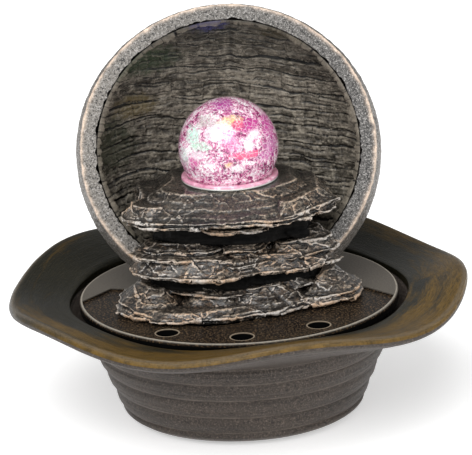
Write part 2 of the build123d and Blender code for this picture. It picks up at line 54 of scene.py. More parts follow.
SURROUND_STRENGTH = 0.4
KEY_STRENGTH = 2.6
KEY_SOFTNESS = 50.0             # degrees across
KEY_FROM = (-0.30, -0.85, 1.0)
FILL_POWER = 6.0
FLOOR_GLOW = 0.45
CREASE_X = 2.0                  # upright crease in the slate wall
TERRACE = 3.6                   # height of the steps on the ledges' tops
# painted glow: the ball and the cup give light of their own, standing in for the LEDs beneath them
BALL_GLOW = 0.12

# the brim's wave, and the boss of the supply cord's outlet
LOBES = 5
LOBE_TURN = math.radians(141)
OUTLET_HEIGHT = 50.0
OUTLET_CUT = 6.5                # radius of the opening in the bowl's skin, inside the boss

# the deck's drain holes
DRAIN_REACH = 86.0
DRAIN_RADIUS = 7.25
DRAIN_ANGLES = (-123.0, -89.5, -54.5)

# tints on the slate wall: the blue patch at the top and the green one at the upper left are painted coloured
# light from the ball's LEDs, the rest faint stains; place, half-lengths, colour
WALL_STAINS_AND_PAINTED_LIGHT = [
    ((-12, 20, 252), (13, 30, 7), (0.035, 0.035, 0.13)),
    ((-52, 20, 228), (26, 40, 12), (0.026, 0.046, 0.022)),
    ((-76, 30, 172), (14, 40, 20), (0.050, 0.056, 0.034)),
    ((-62, 30, 196), (15, 40, 9), (0.150, 0.118, 0.055)),
    ((34, 20, 245), (22, 30, 7), (0.060, 0.050, 0.030)),
]

# crackle glass: colours of the shards from darkest to palest, the LEDs' pink light painted into them
BALL_TONES = [(0.10, (0.10, 0.010, 0.05)), (0.26, (0.34, 0.035, 0.15)), (0.38, (0.60, 0.17, 0.33)),
              (0.50, (0.78, 0.44, 0.57)), (0.62, (0.88, 0.76, 0.80)), (0.80, (0.97, 0.97, 0.97))]
# patches of painted coloured light from the LEDs on the glass: degrees round from the front and degrees up,
# half-lengths, colour, amount
BALL_PATCHES = [
    (-20, 75, (7, 9, 5), (0.30, 0.02, 0.20), 0.95),
    (35, 40, (7, 9, 5), (0.38, 0.02, 0.18), 0.95),
    (70, 30, (5, 12, 10), (0.42, 0.05, 0.24), 0.85),
    (60, 10, (7, 9, 6), (0.36, 0.10, 0.26), 0.75),
    (20, 5, (10, 9, 2.6), (0.66, 0.03, 0.12), 0.95),
    (50, 0, (7, 9, 4), (0.34, 0.02, 0.20), 0.95),
    (5, 20, (5, 9, 7), (0.62, 0.20, 0.38), 0.7),
    (5, 45, (8, 9, 3), (0.80, 0.56, 0.24), 0.8),
    (15, 40, (4, 9, 3), (0.60, 0.05, 0.14), 0.85),
    (-50, 25, (5, 9, 7), (0.40, 0.70, 0.55), 0.85),
    (-35, 15, (8, 9, 3.4), (0.38, 0.64, 0.48), 0.8),
    (-60, 0, (4, 9, 6), (0.55, 0.76, 0.63), 0.7),
    (-45, -5, (3, 9, 5), (0.40, 0.03, 0.18), 0.95),
    (-35, 45, (8, 9, 5), (0.40, 0.43, 0.38), 0.7),
    (-20, 30, (6, 9, 5), (0.95, 0.93, 0.95), 0.6),
    (-40, 5, (8, 9, 3), (0.92, 0.97, 0.95), 0.6),
    (25, 15, (3.4, 9, 3.2), (1.0, 1.0, 1.0), 0.9),
    (10, -10, (4, 9, 3), (1.0, 0.97, 0.93), 0.8),
    (35, 25, (4, 9, 3), (0.98, 0.92, 0.96), 0.7),
    (0, -5, (3, 9, 2), (0.85, 0.50, 0.20), 0.7),
]


# ---- Sizes read from the frame ----
def box_mm(node):
    """Lowest and highest corner of a CAD node, in millimetres."""
    low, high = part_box(node)
    return np.array(low) / MM, np.array(high) / MM


ball_low, ball_high = box_mm("glass_ball")
ball_radius = (ball_high[2] - ball_low[2]) / 2
ball_centre = np.array([(ball_low[0] + ball_high[0]) / 2, (ball_low[1] + ball_high[1]) / 2,
                        ball_high[2] - ball_radius])
column_x = ball_centre[0]
column_y = ball_centre[1]

foot_height = box_mm("basin")[0][2]

deck_low, deck_high = box_mm("deck")
deck_top = deck_high[2]
deck_radius = (deck_high[0] - deck_low[0]) / 2

shell_low, shell_high = box_mm("moon_shell")
globe_radius = (shell_high[0] - shell_low[0]) / 2
globe_z = shell_high[2] - globe_radius
globe_y = 25.0                  # widest section of the globe
globe_front = 68.0
globe_back = shell_high[1] - globe_y
shell_wall = 9.5
shell_depth_wall = 7.0
slice_lean = math.tan(math.radians(12))
slice_y = 5.0


# ---- Arrays of points, and noise on them ----
def stack(*columns):
    """Points from their columns of coordinates, which are spread to a common shape."""
    return np.stack(np.broadcast_arrays(*columns), axis=-1)


def full_turn(count):
    """Evenly spaced angles once round."""
    return np.linspace(0, 2 * math.pi, count, endpoint=False)


def unit(vectors):
    """The same directions at length 1."""
    return vectors / np.linalg.norm(vectors, axis=-1, keepdims=True)


def lattice(cells, seed):
    """A repeatable number from 0 to 1 for each whole-numbered cell."""
    cells = cells.astype(np.int64)
    mixed = cells[..., 0] * 374761393 + cells[..., 1] * 668265263 + cells[..., 2] * 974634777
    mixed = (mixed + seed * 1274126177) & 0xFFFFFFFF
    mixed = ((mixed ^ (mixed >> 13)) * 1103515245) & 0xFFFFFFFF
    mixed = ((mixed ^ (mixed >> 16)) * 2246822519) & 0xFFFFFFFF
    return ((mixed ^ (mixed >> 15)) & 0xFFFFFF) / float(0xFFFFFF)


def noise(points, seed=0):
    """Smooth noise from -1 to 1."""
    base = np.floor(points)
    part = points - base
    ease = part * part * (3 - 2 * part)
    total = np.zeros(points.shape[:-1])
    for corner in itertools.product((0, 1), repeat=3):
        share = np.ones(points.shape[:-1])
        for axis in range(3):
            share = share * (ease[..., axis] if corner[axis] else 1 - ease[..., axis])
        total = total + share * lattice(base + np.array(corner), seed)
    return 2 * total - 1


def fractal(points, octaves=4, seed=0):
    """Noise summed over octaves, about -1 to 1."""
    total = 0
    for octave in range(octaves):
        total = total + noise(points * 2.0 ** octave + 17.3 * octave, seed + octave) * 0.5 ** octave
    return total / 1.6


def facets(points, seed=0):
    """Flat chips, each with its own level and tilt, about -1 to 1, and the distance to the chip's middle."""
    base = np.floor(points)
    nearest = np.full(points.shape[:-1], 9.0)
    level = np.zeros(points.shape[:-1])
    for step in itertools.product((-1, 0, 1), repeat=3):
        cell = base + np.array(step)
        apart = points - cell - stack(*(lattice(cell, seed + axis) for axis in range(3)))
        away = (apart ** 2).sum(-1)
        tilt = stack(*(lattice(cell, seed + 20 + axis) for axis in range(3))) * 2 - 1
        plane = (apart * tilt).sum(-1) + (lattice(cell, seed + 7) - 0.5)
        closer = away < nearest
        level = np.where(closer, plane, level)
        nearest = np.where(closer, away, nearest)
    return level, np.sqrt(nearest)


# ---- Meshes ----
def show(made):
    """Links an object into the scene."""
    bpy.context.scene.collection.objects.link(made)


def new_object(name, points, faces, body, replaces):
    """A mesh object from points in millimetres that rides on a CAD body."""
    mesh = bpy.data.meshes.new(name)
    mesh.from_pydata((np.asarray(points).reshape(-1, 3) * MM).tolist(), [], faces)
    mesh.validate()
    mesh.update()
    mesh.polygons.foreach_set("use_smooth", np.ones(len(mesh.polygons), dtype=bool))
    made = bpy.data.objects.new(name, mesh)
    show(made)
    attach(made, body)
    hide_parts(*replaces)
    return made


def grid_faces(rows, columns, closed=True):
    """Quads of a grid of points stored row by row; a closed grid joins its last column to its first."""
    across = columns if closed else columns - 1
    row, column = np.meshgrid(np.arange(rows - 1), np.arange(across), indexing="ij")
    start = row * columns
    after = (column + 1) % columns
    quads = stack(start + column, start + after, start + columns + after, start + columns + column)
    return quads.reshape(-1, 4).tolist()


def set_attribute(made, name, values):
    """A float on each vertex, read by the materials."""
    attribute = made.data.attributes.new(name, "FLOAT", "POINT")
    attribute.data.foreach_set("value", np.asarray(values, dtype=np.float32).ravel())


def mesh_arrays(mesh):
    """Vertex places in millimetres, vertex normals and edges of a mesh."""
    count = len(mesh.vertices)
    places = np.empty(count * 3)
    mesh.vertices.foreach_get("co", places)
    normals = np.empty(count * 3)
    mesh.vertex_normals.foreach_get("vector", normals)
    edges = np.empty(len(mesh.edges) * 2, dtype=np.int64)
    mesh.edges.foreach_get("vertices", edges)
    return places.reshape(-1, 3) / MM, normals.reshape(-1, 3), edges.reshape(-1, 2)


def neighbour_mean(values, edges):
    """Mean of each vertex's neighbours."""
    count = len(values)
    ends = np.concatenate([edges[:, 0], edges[:, 1]])
    others = np.concatenate([edges[:, 1], edges[:, 0]])
    degree = np.maximum(np.bincount(ends, minlength=count), 1)
    columns = [np.bincount(ends, weights=values[others, axis], minlength=count) / degree
               for axis in range(values.shape[1])]
    return np.stack(columns, axis=-1)


def mark_ridges_and_hollows(made, rounds, gain, ridges="wear", creases="hollow"):
    """Stores how far each vertex stands out: an attribute for ridges, and one for creases."""
    places, normals, edges = mesh_arrays(made.data)
    around = places
    for _ in range(rounds):
        around = neighbour_mean(around, edges)
    proud = ((places - around) * normals).sum(-1)[:, None]
    proud = neighbour_mean(proud, edges)[:, 0] * 0.5 + proud[:, 0] * 0.5
    set_attribute(made, ridges, np.clip(proud * gain, 0, 1))
    if creases:
        set_attribute(made, creases, np.clip(-proud * gain, 0, 1))


def catmull(keys, per_span):
    """A smooth row of values through the given rows of keys."""
    keys = np.asarray(keys, dtype=float)
    padded = np.vstack([2 * keys[0] - keys[1], keys, 2 * keys[-1] - keys[-2]])
    rows = []
    for index in range(1, len(padded) - 2):
        before, start, end, after = padded[index - 1:index + 3]
        for share in np.arange(per_span) / per_span:
            rows.append(0.5 * (2 * start + (end - before) * share
                               + (2 * before - 5 * start + 4 * end - after) * share ** 2
                               + (3 * start - before - 3 * end + after) * share ** 3))
    rows.append(padded[-2])
    return np.array(rows)


# ---- Materials ----
class Shader:
    """A Principled material: short calls add its nodes, and paint() lays tints over its colour."""

    def __init__(self, name):
        self.material = bpy.data.materials.new(name)
        self.material.use_nodes = True
        self.tree = self.material.node_tree
        self.principled = self.tree.nodes["Principled BSDF"]
        self.where = self.add("ShaderNodeTexCoord").outputs["Object"]
        self.colour = None

    def add(self, kind, inputs=None, **settings):
        made = self.tree.nodes.new(kind)
        for key, value in settings.items():
            setattr(made, key, value)
        for key, value in (inputs or {}).items():
            self.plug(value, made.inputs[key])
        return made

    def plug(self, value, socket):
        if isinstance(value, bpy.types.NodeSocket):
            self.tree.links.new(value, socket)
        else:
            socket.default_value = value

    def finish(self, **values):
        """Sets the Principled inputs, with underscores for spaces, and gives the material."""
        for key, value in {"Base_Color": self.colour, **values}.items():
            self.plug(value, self.principled.inputs[key.replace("_", " ")])
        return self.material

    def stretched(self, scale, vector=None):
        """Coordinates scaled along each axis: cycles per metre."""
        source = self.where if vector is None else vector
        return self.add("ShaderNodeMapping", {"Vector": source, "Scale": scale}).outputs["Vector"]

    def noise(self, scale, detail, roughness, distortion=0.0, vector=None):
        """Noise of so many cycles per metre, or of a number of its own along each axis."""
        source = self.where if vector is None else vector
        if isinstance(scale, tuple):
            source, scale = self.stretched(scale, source), 1.0
        made = self.add("ShaderNodeTexNoise", {"Vector": source, "Scale": scale, "Detail": detail,
                                               "Roughness": roughness, "Distortion": distortion})
        return made.outputs["Fac"]

    def voronoi(self, scale, feature="F1", output="Distance", vector=None):
        source = self.where if vector is None else vector
        made = self.add("ShaderNodeTexVoronoi", {"Vector": source, "Scale": scale}, feature=feature)
        return made.outputs[output]

    def attribute(self, name):
        return self.add("ShaderNodeAttribute", attribute_name=name).outputs["Fac"]

    def axis(self, name):
        """The X, Y or Z coordinate, in metres."""
        return self.add("ShaderNodeSeparateXYZ", {"Vector": self.where}).outputs[name]

    def ramp(self, fac, stops):
        made = self.add("ShaderNodeValToRGB", {"Fac": fac})
        while len(made.color_ramp.elements) < len(stops):
            made.color_ramp.elements.new(0.5)
        for element, (place, colour) in zip(made.color_ramp.elements, stops):
            element.position = place
            element.color = (*colour, 1)
        return made.outputs["Color"]

    def levels(self, fac, low, high, start=0.0, end=1.0):
        made = self.add("ShaderNodeMapRange", {"Value": fac, "From Min": low, "From Max": high,
                                               "To Min": start, "To Max": end})
        return made.outputs["Result"]

    def mix(self, fac, first, second):
        made = self.add("ShaderNodeMix", data_type="RGBA")
        self.plug(fac, made.inputs[0])
        for value, socket in ((first, made.inputs[6]), (second, made.inputs[7])):
            self.plug((*value, 1) if isinstance(value, tuple) else value, socket)
        return made.outputs[2]

    def paint(self, tint, mask, low=0.0, high=1.0, amount=1.0):
        """Lays a tint over the colour: none where the mask is at low, the amount where it is at high."""
        self.colour = self.mix(self.levels(mask, low, high, 0.0, amount), self.colour, tint)

    def math(self, operation, first, second=0.5):
        made = self.add("ShaderNodeMath", operation=operation)
        self.plug(first, made.inputs[0])
        self.plug(second, made.inputs[1])
        return made.outputs[0]

    def times(self, first, *others):
        for other in others:
            first = self.math("MULTIPLY", first, other)
        return first

    def plus(self, first, *others):
        for other in others:
            first = self.math("ADD", first, other)
        return first

    def vector_math(self, operation, first, second=(0, 0, 0), output="Vector"):
        made = self.add("ShaderNodeVectorMath", operation=operation)
        self.plug(first, made.inputs[0])
        self.plug(second, made.inputs[1])
        return made.outputs[output]

    def bump(self, height, distance_m, strength=1.0):
        inputs = {"Height": height, "Distance": distance_m, "Strength": strength}
        return self.add("ShaderNodeBump", inputs).outputs["Normal"]

    def reach(self, x, y):
        """Distance in metres from the upright line through x and y."""
        return self.vector_math("DISTANCE", self.stretched((1, 1, 0)), (x * MM, y * MM, 0), "Value")

    def blob(self, place, size, ragged_share):
        """1 inside an uneven patch round a place, 0 outside; its size is three half-lengths."""
        moved = self.vector_math("SUBTRACT", self.where, tuple(float(value) * MM for value in place))
        scaled = self.vector_math("DIVIDE", moved, tuple(value * MM for value in size))
        away = self.vector_math("LENGTH", scaled, output="Value")
        wobble = self.levels(self.noise(260, 5, 0.75), 0.3, 0.7, -ragged_share, ragged_share)
        return self.levels(self.plus(away, wobble), 1.2, 0.7)


def dress(made, material):
    """Puts one material on every slot of an object."""
    made.data.materials.clear()
    made.data.materials.append(material)


def bowl_material():
    """Taupe cast resin with fine speckle, a little paler along the throwing grooves."""
    shader = Shader("basin_bowl")
    speckle = shader.noise(950, 3, 0.75)
    blotch = shader.noise((16, 16, 70), 4, 0.6)
    pits = shader.noise(640, 2, 0.6)
    grain = shader.noise((60, 60, 500), 3, 0.7)
    shader.colour = shader.ramp(blotch, [(0.3, (0.028, 0.022, 0.018)), (0.7, (0.055, 0.043, 0.035))])
    shader.paint((0.18, 0.142, 0.115), speckle, 0.51, 0.66, 0.7)
    shader.paint((0.014, 0.011, 0.010), pits, 0.46, 0.34, 0.8)
    line = shader.times(shader.attribute("groove"), shader.levels(grain, 0.38, 0.6, 0.1, 1.0))
    shader.paint((0.22, 0.185, 0.155), line, amount=0.55)
    return shader.finish(Roughness=shader.levels(blotch, 0.3, 0.7, 0.42, 0.56), Specular_IOR_Level=0.28,
                         Normal=shader.bump(speckle, 0.0007, 0.7))


def brim_material():
    """Dark olive resin, dry-brushed round the rim with golden brown, with painted shade at the back and a
    painted highlight along the lip.
    """
    shader = Shader("basin_brim")
    across = shader.attribute("across")
    unrolled = shader.add("ShaderNodeCombineXYZ", {"X": shader.attribute("around"), "Y": across})
    unrolled = unrolled.outputs["Vector"]
    streak = shader.noise((14, 90, 1), 6, 0.72, 0.6, unrolled)
    fine = shader.noise((120, 900, 1), 3, 0.7, vector=unrolled)
    speckle = shader.noise(900, 3, 0.7)
    cloud = shader.noise(17, 3, 0.5)
    gold = shader.mix(shader.levels(fine, 0.35, 0.65), (0.055, 0.032, 0.006), (0.165, 0.094, 0.016))
    outwards = shader.levels(across, 0.004, 0.030, -0.15, 0.06)
    patch = shader.levels(shader.attribute("gilding"), 0.0, 1.0, -0.15, 0.13)
    shader.colour = shader.mix(shader.levels(cloud, 0.35, 0.65), (0.006, 0.006, 0.003), (0.017, 0.015, 0.007))
    shader.paint(gold, shader.plus(streak, outwards, patch), 0.44, 0.62)
    shader.paint((0.13, 0.10, 0.05), speckle, 0.55, 0.68, 0.4)
    shader.paint((0.005, 0.005, 0.003), speckle, 0.44, 0.34, 0.5)
    # painted shade: the back of the brim is painted darker, as in the shade of the shell
    shader.paint((0.006, 0.006, 0.003), shader.axis("Y"), -0.04, 0.07, 0.5)
    # painted highlight along the crest of the lip
    crest_painted_highlight = shader.times(shader.attribute("crest"), shader.levels(speckle, 0.3, 0.6, 0.25, 0.8))
    shader.paint((0.15, 0.12, 0.085), crest_painted_highlight)
    return shader.finish(Roughness=shader.levels(streak, 0.3, 0.7, 0.28, 0.42), Specular_IOR_Level=0.15,
                         Normal=shader.bump(fine, 0.0005, 0.7))


def shell_material():
    """Hammered grey-taupe resin with silver flecks, dark pits, a pale peach edge that is partly wear and
    partly painted highlight, and a face painted paler on the left.
    """
    shader = Shader("shell_resin")
    dents = shader.voronoi(420, "SMOOTH_F1")
    speckle = shader.noise(1050, 3, 0.8)
    grit = shader.noise(700, 2, 0.7)
    cloud = shader.noise(25, 4, 0.6)
    # painted light: the rim's face is painted paler on the left and darker on the right
    across = shader.levels(shader.axis("X"), -0.09, 0.09)
    face_tone_painted_lit_left = shader.mix(across, (0.20, 0.185, 0.165), (0.085, 0.082, 0.078))
    shader.colour = shader.ramp(cloud, [(0.3, (0.085, 0.074, 0.062)), (0.7, (0.17, 0.15, 0.13))])
    shader.paint(face_tone_painted_lit_left, shader.attribute("face"))
    shader.paint((0.48, 0.46, 0.44), speckle, 0.52, 0.62, 0.9)
    shader.paint((0.022, 0.021, 0.021), grit, 0.47, 0.38, 0.92)
    # painted highlight: a pale peach line along the outer corner, partly also wear
    peach_edge_wear_and_highlight = shader.times(shader.attribute("edge"), shader.levels(speckle, 0.36, 0.5, 0.45, 1.0))
    shader.paint((0.86, 0.68, 0.54), peach_edge_wear_and_highlight)
    return shader.finish(Roughness=shader.levels(speckle, 0.4, 0.7, 0.5, 0.28), Specular_IOR_Level=0.4,
                         Normal=shader.bump(dents, 0.0008, 0.8))


def wall_material():
    """Olive-brown slate strata with black joints, faint stains, painted coloured light from the ball and
    dry-brushed ridges; painted shade darkens the top, the hollows and the ends behind the rim.
    """
    shader = Shader("wall_slate")
    layers = shader.noise((30, 30, 240), 6, 0.72, 1.0)
    broad = shader.noise((18, 18, 60), 4, 0.65, 0.8)
    mottling = shader.noise(210, 6, 0.75)
    tone = shader.plus(shader.times(layers, 0.42), shader.times(broad, 0.58))
    shader.colour = shader.ramp(tone, [(0.36, (0.034, 0.030, 0.023)), (0.48, (0.115, 0.102, 0.082)),
                                       (0.62, (0.25, 0.222, 0.180))])
    shader.paint((0.42, 0.375, 0.30), mottling, 0.50, 0.64, 0.8)
    shader.paint((0.012, 0.011, 0.009), mottling, 0.47, 0.36, 0.85)
    # painted shade: the wall is painted darker towards its top, under the shell
    shader.paint((0.012, 0.012, 0.010), shader.axis("Z"), 0.205, 0.248, 0.6)
    # faint stains, and painted coloured light from the ball
    for place, size, tint in WALL_STAINS_AND_PAINTED_LIGHT:
        shader.paint(tint, shader.blob(place, size, 0.35), amount=0.8)
    shader.paint((0.34, 0.30, 0.235), shader.attribute("wear"), 0.15, 0.9, 0.6)
    # painted shade in the hollows between the plates
    shader.paint((0.006, 0.005, 0.005), shader.attribute("hollow"), 0.1, 0.7, 0.95)
    # the dark open joints, and with them the painted shadow behind the rim
    shader.paint((0.004, 0.004, 0.004), shader.attribute("joint"), 0.15, 0.75, 0.96)
    return shader.finish(Roughness=shader.levels(mottling, 0.3, 0.7, 0.46, 0.34), Specular_IOR_Level=0.3,
                         Normal=shader.bump(layers, 0.0012, 0.6))


def ledge_material():
    """Wet black slate with tan specks, copper stains and pale brushing on its broken edges; painted shade
    behind the cup, in the hollows, and on the brushing towards the back.
    """
    shader = Shader("ledge_slate")
    layers = shader.noise((45, 45, 520), 6, 0.7, 0.5)
    mottling = shader.noise(420, 5, 0.8)
    streaks = shader.noise((60, 200, 200), 5, 0.7)
    broad = shader.noise(42, 3, 0.6)
    grain = shader.noise(620, 4, 0.8)
    crown = shader.attribute("crown")
    depth = shader.axis("Y")
    shader.colour = shader.mix(shader.levels(layers, 0.42, 0.66), (0.0085, 0.00816, 0.00799),
                               (0.050, 0.044, 0.038))
    tan = shader.mix(shader.levels(streaks, 0.4, 0.6), (0.30, 0.25, 0.20), (0.27, 0.155, 0.085))
    specks = shader.times(shader.levels(mottling, 0.49, 0.60), shader.levels(broad, 0.38, 0.56, 0.25, 1.0),
                          shader.levels(crown, 0.4, 1.0, 1.0, 0.35))
    shader.paint(tan, specks, amount=0.7)
    dusted = shader.times(shader.levels(shader.attribute("halo"), 0.01, 0.3),
                          shader.levels(grain, 0.46, 0.56))
    shader.paint((0.50, 0.42, 0.33), dusted, amount=0.85)
    # the broken edges are dry-brushed pale; the brushing fades towards the back as painted shade
    pale = shader.mix(shader.levels(broad, 0.44, 0.58), (0.60, 0.56, 0.52), (0.62, 0.43, 0.29))
    edge_brushing_with_painted_back_shade = shader.times(shader.levels(shader.attribute("wear"), 0.10, 0.45),
                           shader.levels(mottling, 0.38, 0.52, 0.12, 1.0),
                           shader.levels(crown, 0.5, 1.0, 1.0, 0.4),
                           shader.levels(depth, 0.002, -0.012, 0.15, 1.0))
    shader.paint(pale, edge_brushing_with_painted_back_shade, amount=0.95)
    # painted shade: behind the cup the tops of the ledges are painted near black
    painted_shade_behind_cup = shader.times(shader.levels(depth, -0.018, 0.012),
                             shader.levels(shader.axis("Z"), 0.140, 0.150))
    shader.paint((0.004, 0.004, 0.004), painted_shade_behind_cup, amount=0.85)
    # painted shade in the hollows of the stone
    shader.paint((0.003, 0.003, 0.003), shader.attribute("hollow"), 0.1, 0.6, 0.95)
    return shader.finish(Roughness=shader.levels(mottling, 0.35, 0.65, 0.16, 0.42), Specular_IOR_Level=0.4,
                         Normal=shader.bump(layers, 0.0007, 0.7), Coat_Weight=0.25, Coat_Roughness=0.10)


def core_material():
    """The rock behind and between the ledges: rough, nearly black, dark slate painted darker still as shade
    in the gaps.
    """
    shader = Shader("core_slate")
    layers = shader.noise((45, 45, 400), 5, 0.7, 0.5)
    shader.colour = shader.mix(shader.levels(layers, 0.4, 0.7), (0.002, 0.002, 0.002), (0.010, 0.009, 0.008))
    return shader.finish(Roughness=shader.levels(layers, 0.3, 0.7, 0.75, 0.5), Specular_IOR_Level=0.12,
                         Normal=shader.bump(layers, 0.0012, 0.8))


def deck_material():
    """Bronze-speckled resin: a dark wet tray in front, a smoother and paler half behind, a painted highlight
    along the lip, pale rims round the drains and painted shade down its side.
    """
    shader = Shader("deck_resin")
    speckle = shader.noise(800, 3, 0.75)
    cloud = shader.noise(26, 4, 0.6)
    height = shader.axis("Z")
    behind = shader.levels(height, (deck_top - 0.9) * MM, (deck_top - 0.5) * MM)
    satin = shader.mix(shader.levels(speckle, 0.45, 0.65, 0.0, 0.5), (0.105, 0.094, 0.080),
                       (0.20, 0.175, 0.145))
    shader.colour = shader.ramp(cloud, [(0.35, (0.006, 0.005, 0.005)), (0.65, (0.018, 0.015, 0.012))])
    shader.paint((0.20, 0.125, 0.065), speckle, 0.52, 0.66, 0.8)
    shader.paint(satin, behind)
    from_middle = shader.reach(0, 0)
    # painted highlight: a thin pale line along the top of the lip
    lip_painted_highlight = shader.times(shader.levels(from_middle, (deck_radius - 1.9) * MM, (deck_radius - 1.5) * MM),
                        shader.levels(from_middle, (deck_radius - 0.5) * MM, (deck_radius - 0.9) * MM),
                        shader.levels(speckle, 0.35, 0.5, 0.35, 0.9))
    shader.paint((0.40, 0.36, 0.30), lip_painted_highlight)
    for angle in DRAIN_ANGLES:
        turn = math.radians(angle)
        from_drain = shader.reach(DRAIN_REACH * math.cos(turn), DRAIN_REACH * math.sin(turn))
        shader.paint((0.36, 0.29, 0.21), from_drain,
                     (DRAIN_RADIUS + 1.0) * MM, (DRAIN_RADIUS + 0.6) * MM, 0.8)
    # painted shade: below the tray the deck's side wall is painted near black
    shader.paint((0.003, 0.003, 0.003), height, (deck_top - 1.7) * MM, (deck_top - 2.2) * MM)
    return shader.finish(Roughness=shader.levels(behind, 0.0, 1.0, 0.22, 0.40), Specular_IOR_Level=0.05,
                         Normal=shader.bump(speckle, 0.0005, 0.5))


def ball_material():
    """Crackle glass with the LEDs' light from below painted in: small white, pink and magenta shards, a few
    coloured patches, a pink edge of painted light round its outline, and a glow.
    """
    shader = Shader("crackle_glass")
    # the shards' borders wander
    drift = shader.add("ShaderNodeTexNoise", {"Vector": shader.where, "Scale": 160.0, "Detail": 4.0})
    drift = shader.vector_math("MULTIPLY", drift.outputs["Color"], (0.006, 0.006, 0.006))
    vector = shader.vector_math("ADD", shader.where, drift)
    shard = shader.add("ShaderNodeSeparateColor", {"Color": shader.voronoi(300, "F1", "Color", vector)})
    chip = shader.add("ShaderNodeSeparateColor", {"Color": shader.voronoi(900, "F1", "Color", vector)})
    clump = shader.noise(75, 3, 0.6)
    tone = shader.plus(shader.times(shard.outputs[0], 0.45), shader.times(chip.outputs[1], 0.55),
                       shader.levels(clump, 0.35, 0.65, -0.22, 0.12))
    shader.colour = shader.ramp(tone, BALL_TONES)
    for bearing, height, size, tint, amount in BALL_PATCHES:
        bearing, height = math.radians(bearing), math.radians(height)
        out = np.array([math.sin(bearing) * math.cos(height), -math.cos(bearing) * math.cos(height),
                        math.sin(height)])
        near = shader.blob(ball_centre + ball_radius * out, size, 0.6)
        paler = tuple(min(1.0, 1.5 * channel) for channel in tint)
        shade = shader.mix(shader.levels(chip.outputs[0], 0.2, 0.8), tint, paler)
        shader.paint(shade, near, amount=amount)
    crack = shader.voronoi(300, "DISTANCE_TO_EDGE", vector=vector)
    shader.paint((0.98, 0.93, 0.96), crack, 0.05, 0.02, 0.6)
    split_line = shader.voronoi(480, "DISTANCE_TO_EDGE", vector=vector)
    shader.paint((0.55, 0.09, 0.30), split_line, 0.06, 0.03, 0.6)
    needle = shader.math("SUBTRACT", shader.noise((420, 420, 900), 3, 0.6), 0.5)
    shader.paint((0.30, 0.04, 0.20), shader.math("ABSOLUTE", needle), 0.012, 0.004, 0.55)
    # painted sheen: pink laid over the ball towards its outline
    painted_outline_light = shader.add("ShaderNodeLayerWeight", {"Blend": 0.25}).outputs["Facing"]
    shader.paint((0.90, 0.55, 0.80), painted_outline_light, 0.5, 1.0, 0.35)
    return shader.finish(Roughness=0.05, Emission_Color=shader.colour, Emission_Strength=BALL_GLOW,
                         Coat_Weight=1.0, Coat_Roughness=0.02,
                         Normal=shader.bump(chip.outputs[2], 0.0004, 0.5))


def lit_acrylic():
    """Clear cup with a painted pink glow, as over the ring light, and a pale lower edge."""
    shader = Shader("cup_acrylic")
    ripple = shader.noise(150, 4, 0.7)
    shader.colour = shader.ramp(ripple, [(0.35, (0.52, 0.17, 0.28)), (0.55, (0.76, 0.38, 0.50)),
                                         (0.68, (0.95, 0.78, 0.84))])
    shader.paint((0.86, 0.88, 0.84), shader.axis("Z"),
                 (ball_centre[2] - 19.0) * MM, (ball_centre[2] - 19.8) * MM)
    return shader.finish(Roughness=0.10, Emission_Color=shader.colour, Emission_Strength=BALL_GLOW,
                         Coat_Weight=0.8, Coat_Roughness=0.05)


def plain_material(name, colour, roughness, metallic=0.0, transmission=0.0):
    """Moulded plastic, rubber or metal: a base tone with fine mottling and texture."""
    shader = Shader(name)
    mottling = shader.noise(300, 4, 0.6)
    darker = tuple(channel * 0.8 for channel in colour)
    lighter = tuple(min(channel * 1.2, 1.0) for channel in colour)
    shader.colour = shader.ramp(mottling, [(0.3, darker), (0.7, lighter)])
    return shader.finish(Roughness=shader.levels(mottling, 0.3, 0.7, roughness * 0.85, roughness * 1.15),
                         Normal=shader.bump(mottling, 0.0002, 0.4), Metallic=metallic,
                         Transmission_Weight=transmission)


# ---- Basin ----
def brim_wave(angle):
    """Height of the brim's edge above its mean: five lobes on a slight saddle. Angles in radians."""
    return (4.4 * np.cos(LOBES * (angle - LOBE_TURN))
            + 2.0 * np.cos(angle - math.radians(94))
            - 2.0 * np.cos(2 * (angle - math.radians(4))))


def boss_and_lugs():
    """The boss of the supply cord's outlet, at the back, and four lugs that carry the deck."""
    columns = 96
    angle = full_turn(columns)
    section = [(4.5, 84.0), (4.5, 101.0), (9.4, 101.0), (10.0, 100.4), (10.0, 84.0), (4.5, 84.0)]
    boss = [stack(radius * np.sin(angle), depth, OUTLET_HEIGHT + radius * np.cos(angle))
            for radius, depth in section]
    points = [np.concatenate(boss)]
    faces = grid_faces(len(section), columns)
    start = len(points[0])
    for turn in (45, 135, 225, 315):
        out = np.array([math.cos(math.radians(turn)), math.sin(math.radians(turn)), 0])
        side = np.array([-out[1], out[0], 0])
        corners = [out * reach + side * width + np.array([0, 0, height])
                   for height in (67.5, 72.5)
                   for reach, width in ((97, -7), (110.3, -7), (110.3, 7), (97, 7))]
        points.append(np.array(corners))
        for quad in ((3, 2, 1, 0), (4, 5, 6, 7), (0, 1, 5, 4), (1, 2, 6, 5), (2, 3, 7, 6), (3, 0, 4, 7)):
            faces.append([start + index for index in quad])
        start += 8
    return np.concatenate(points), faces


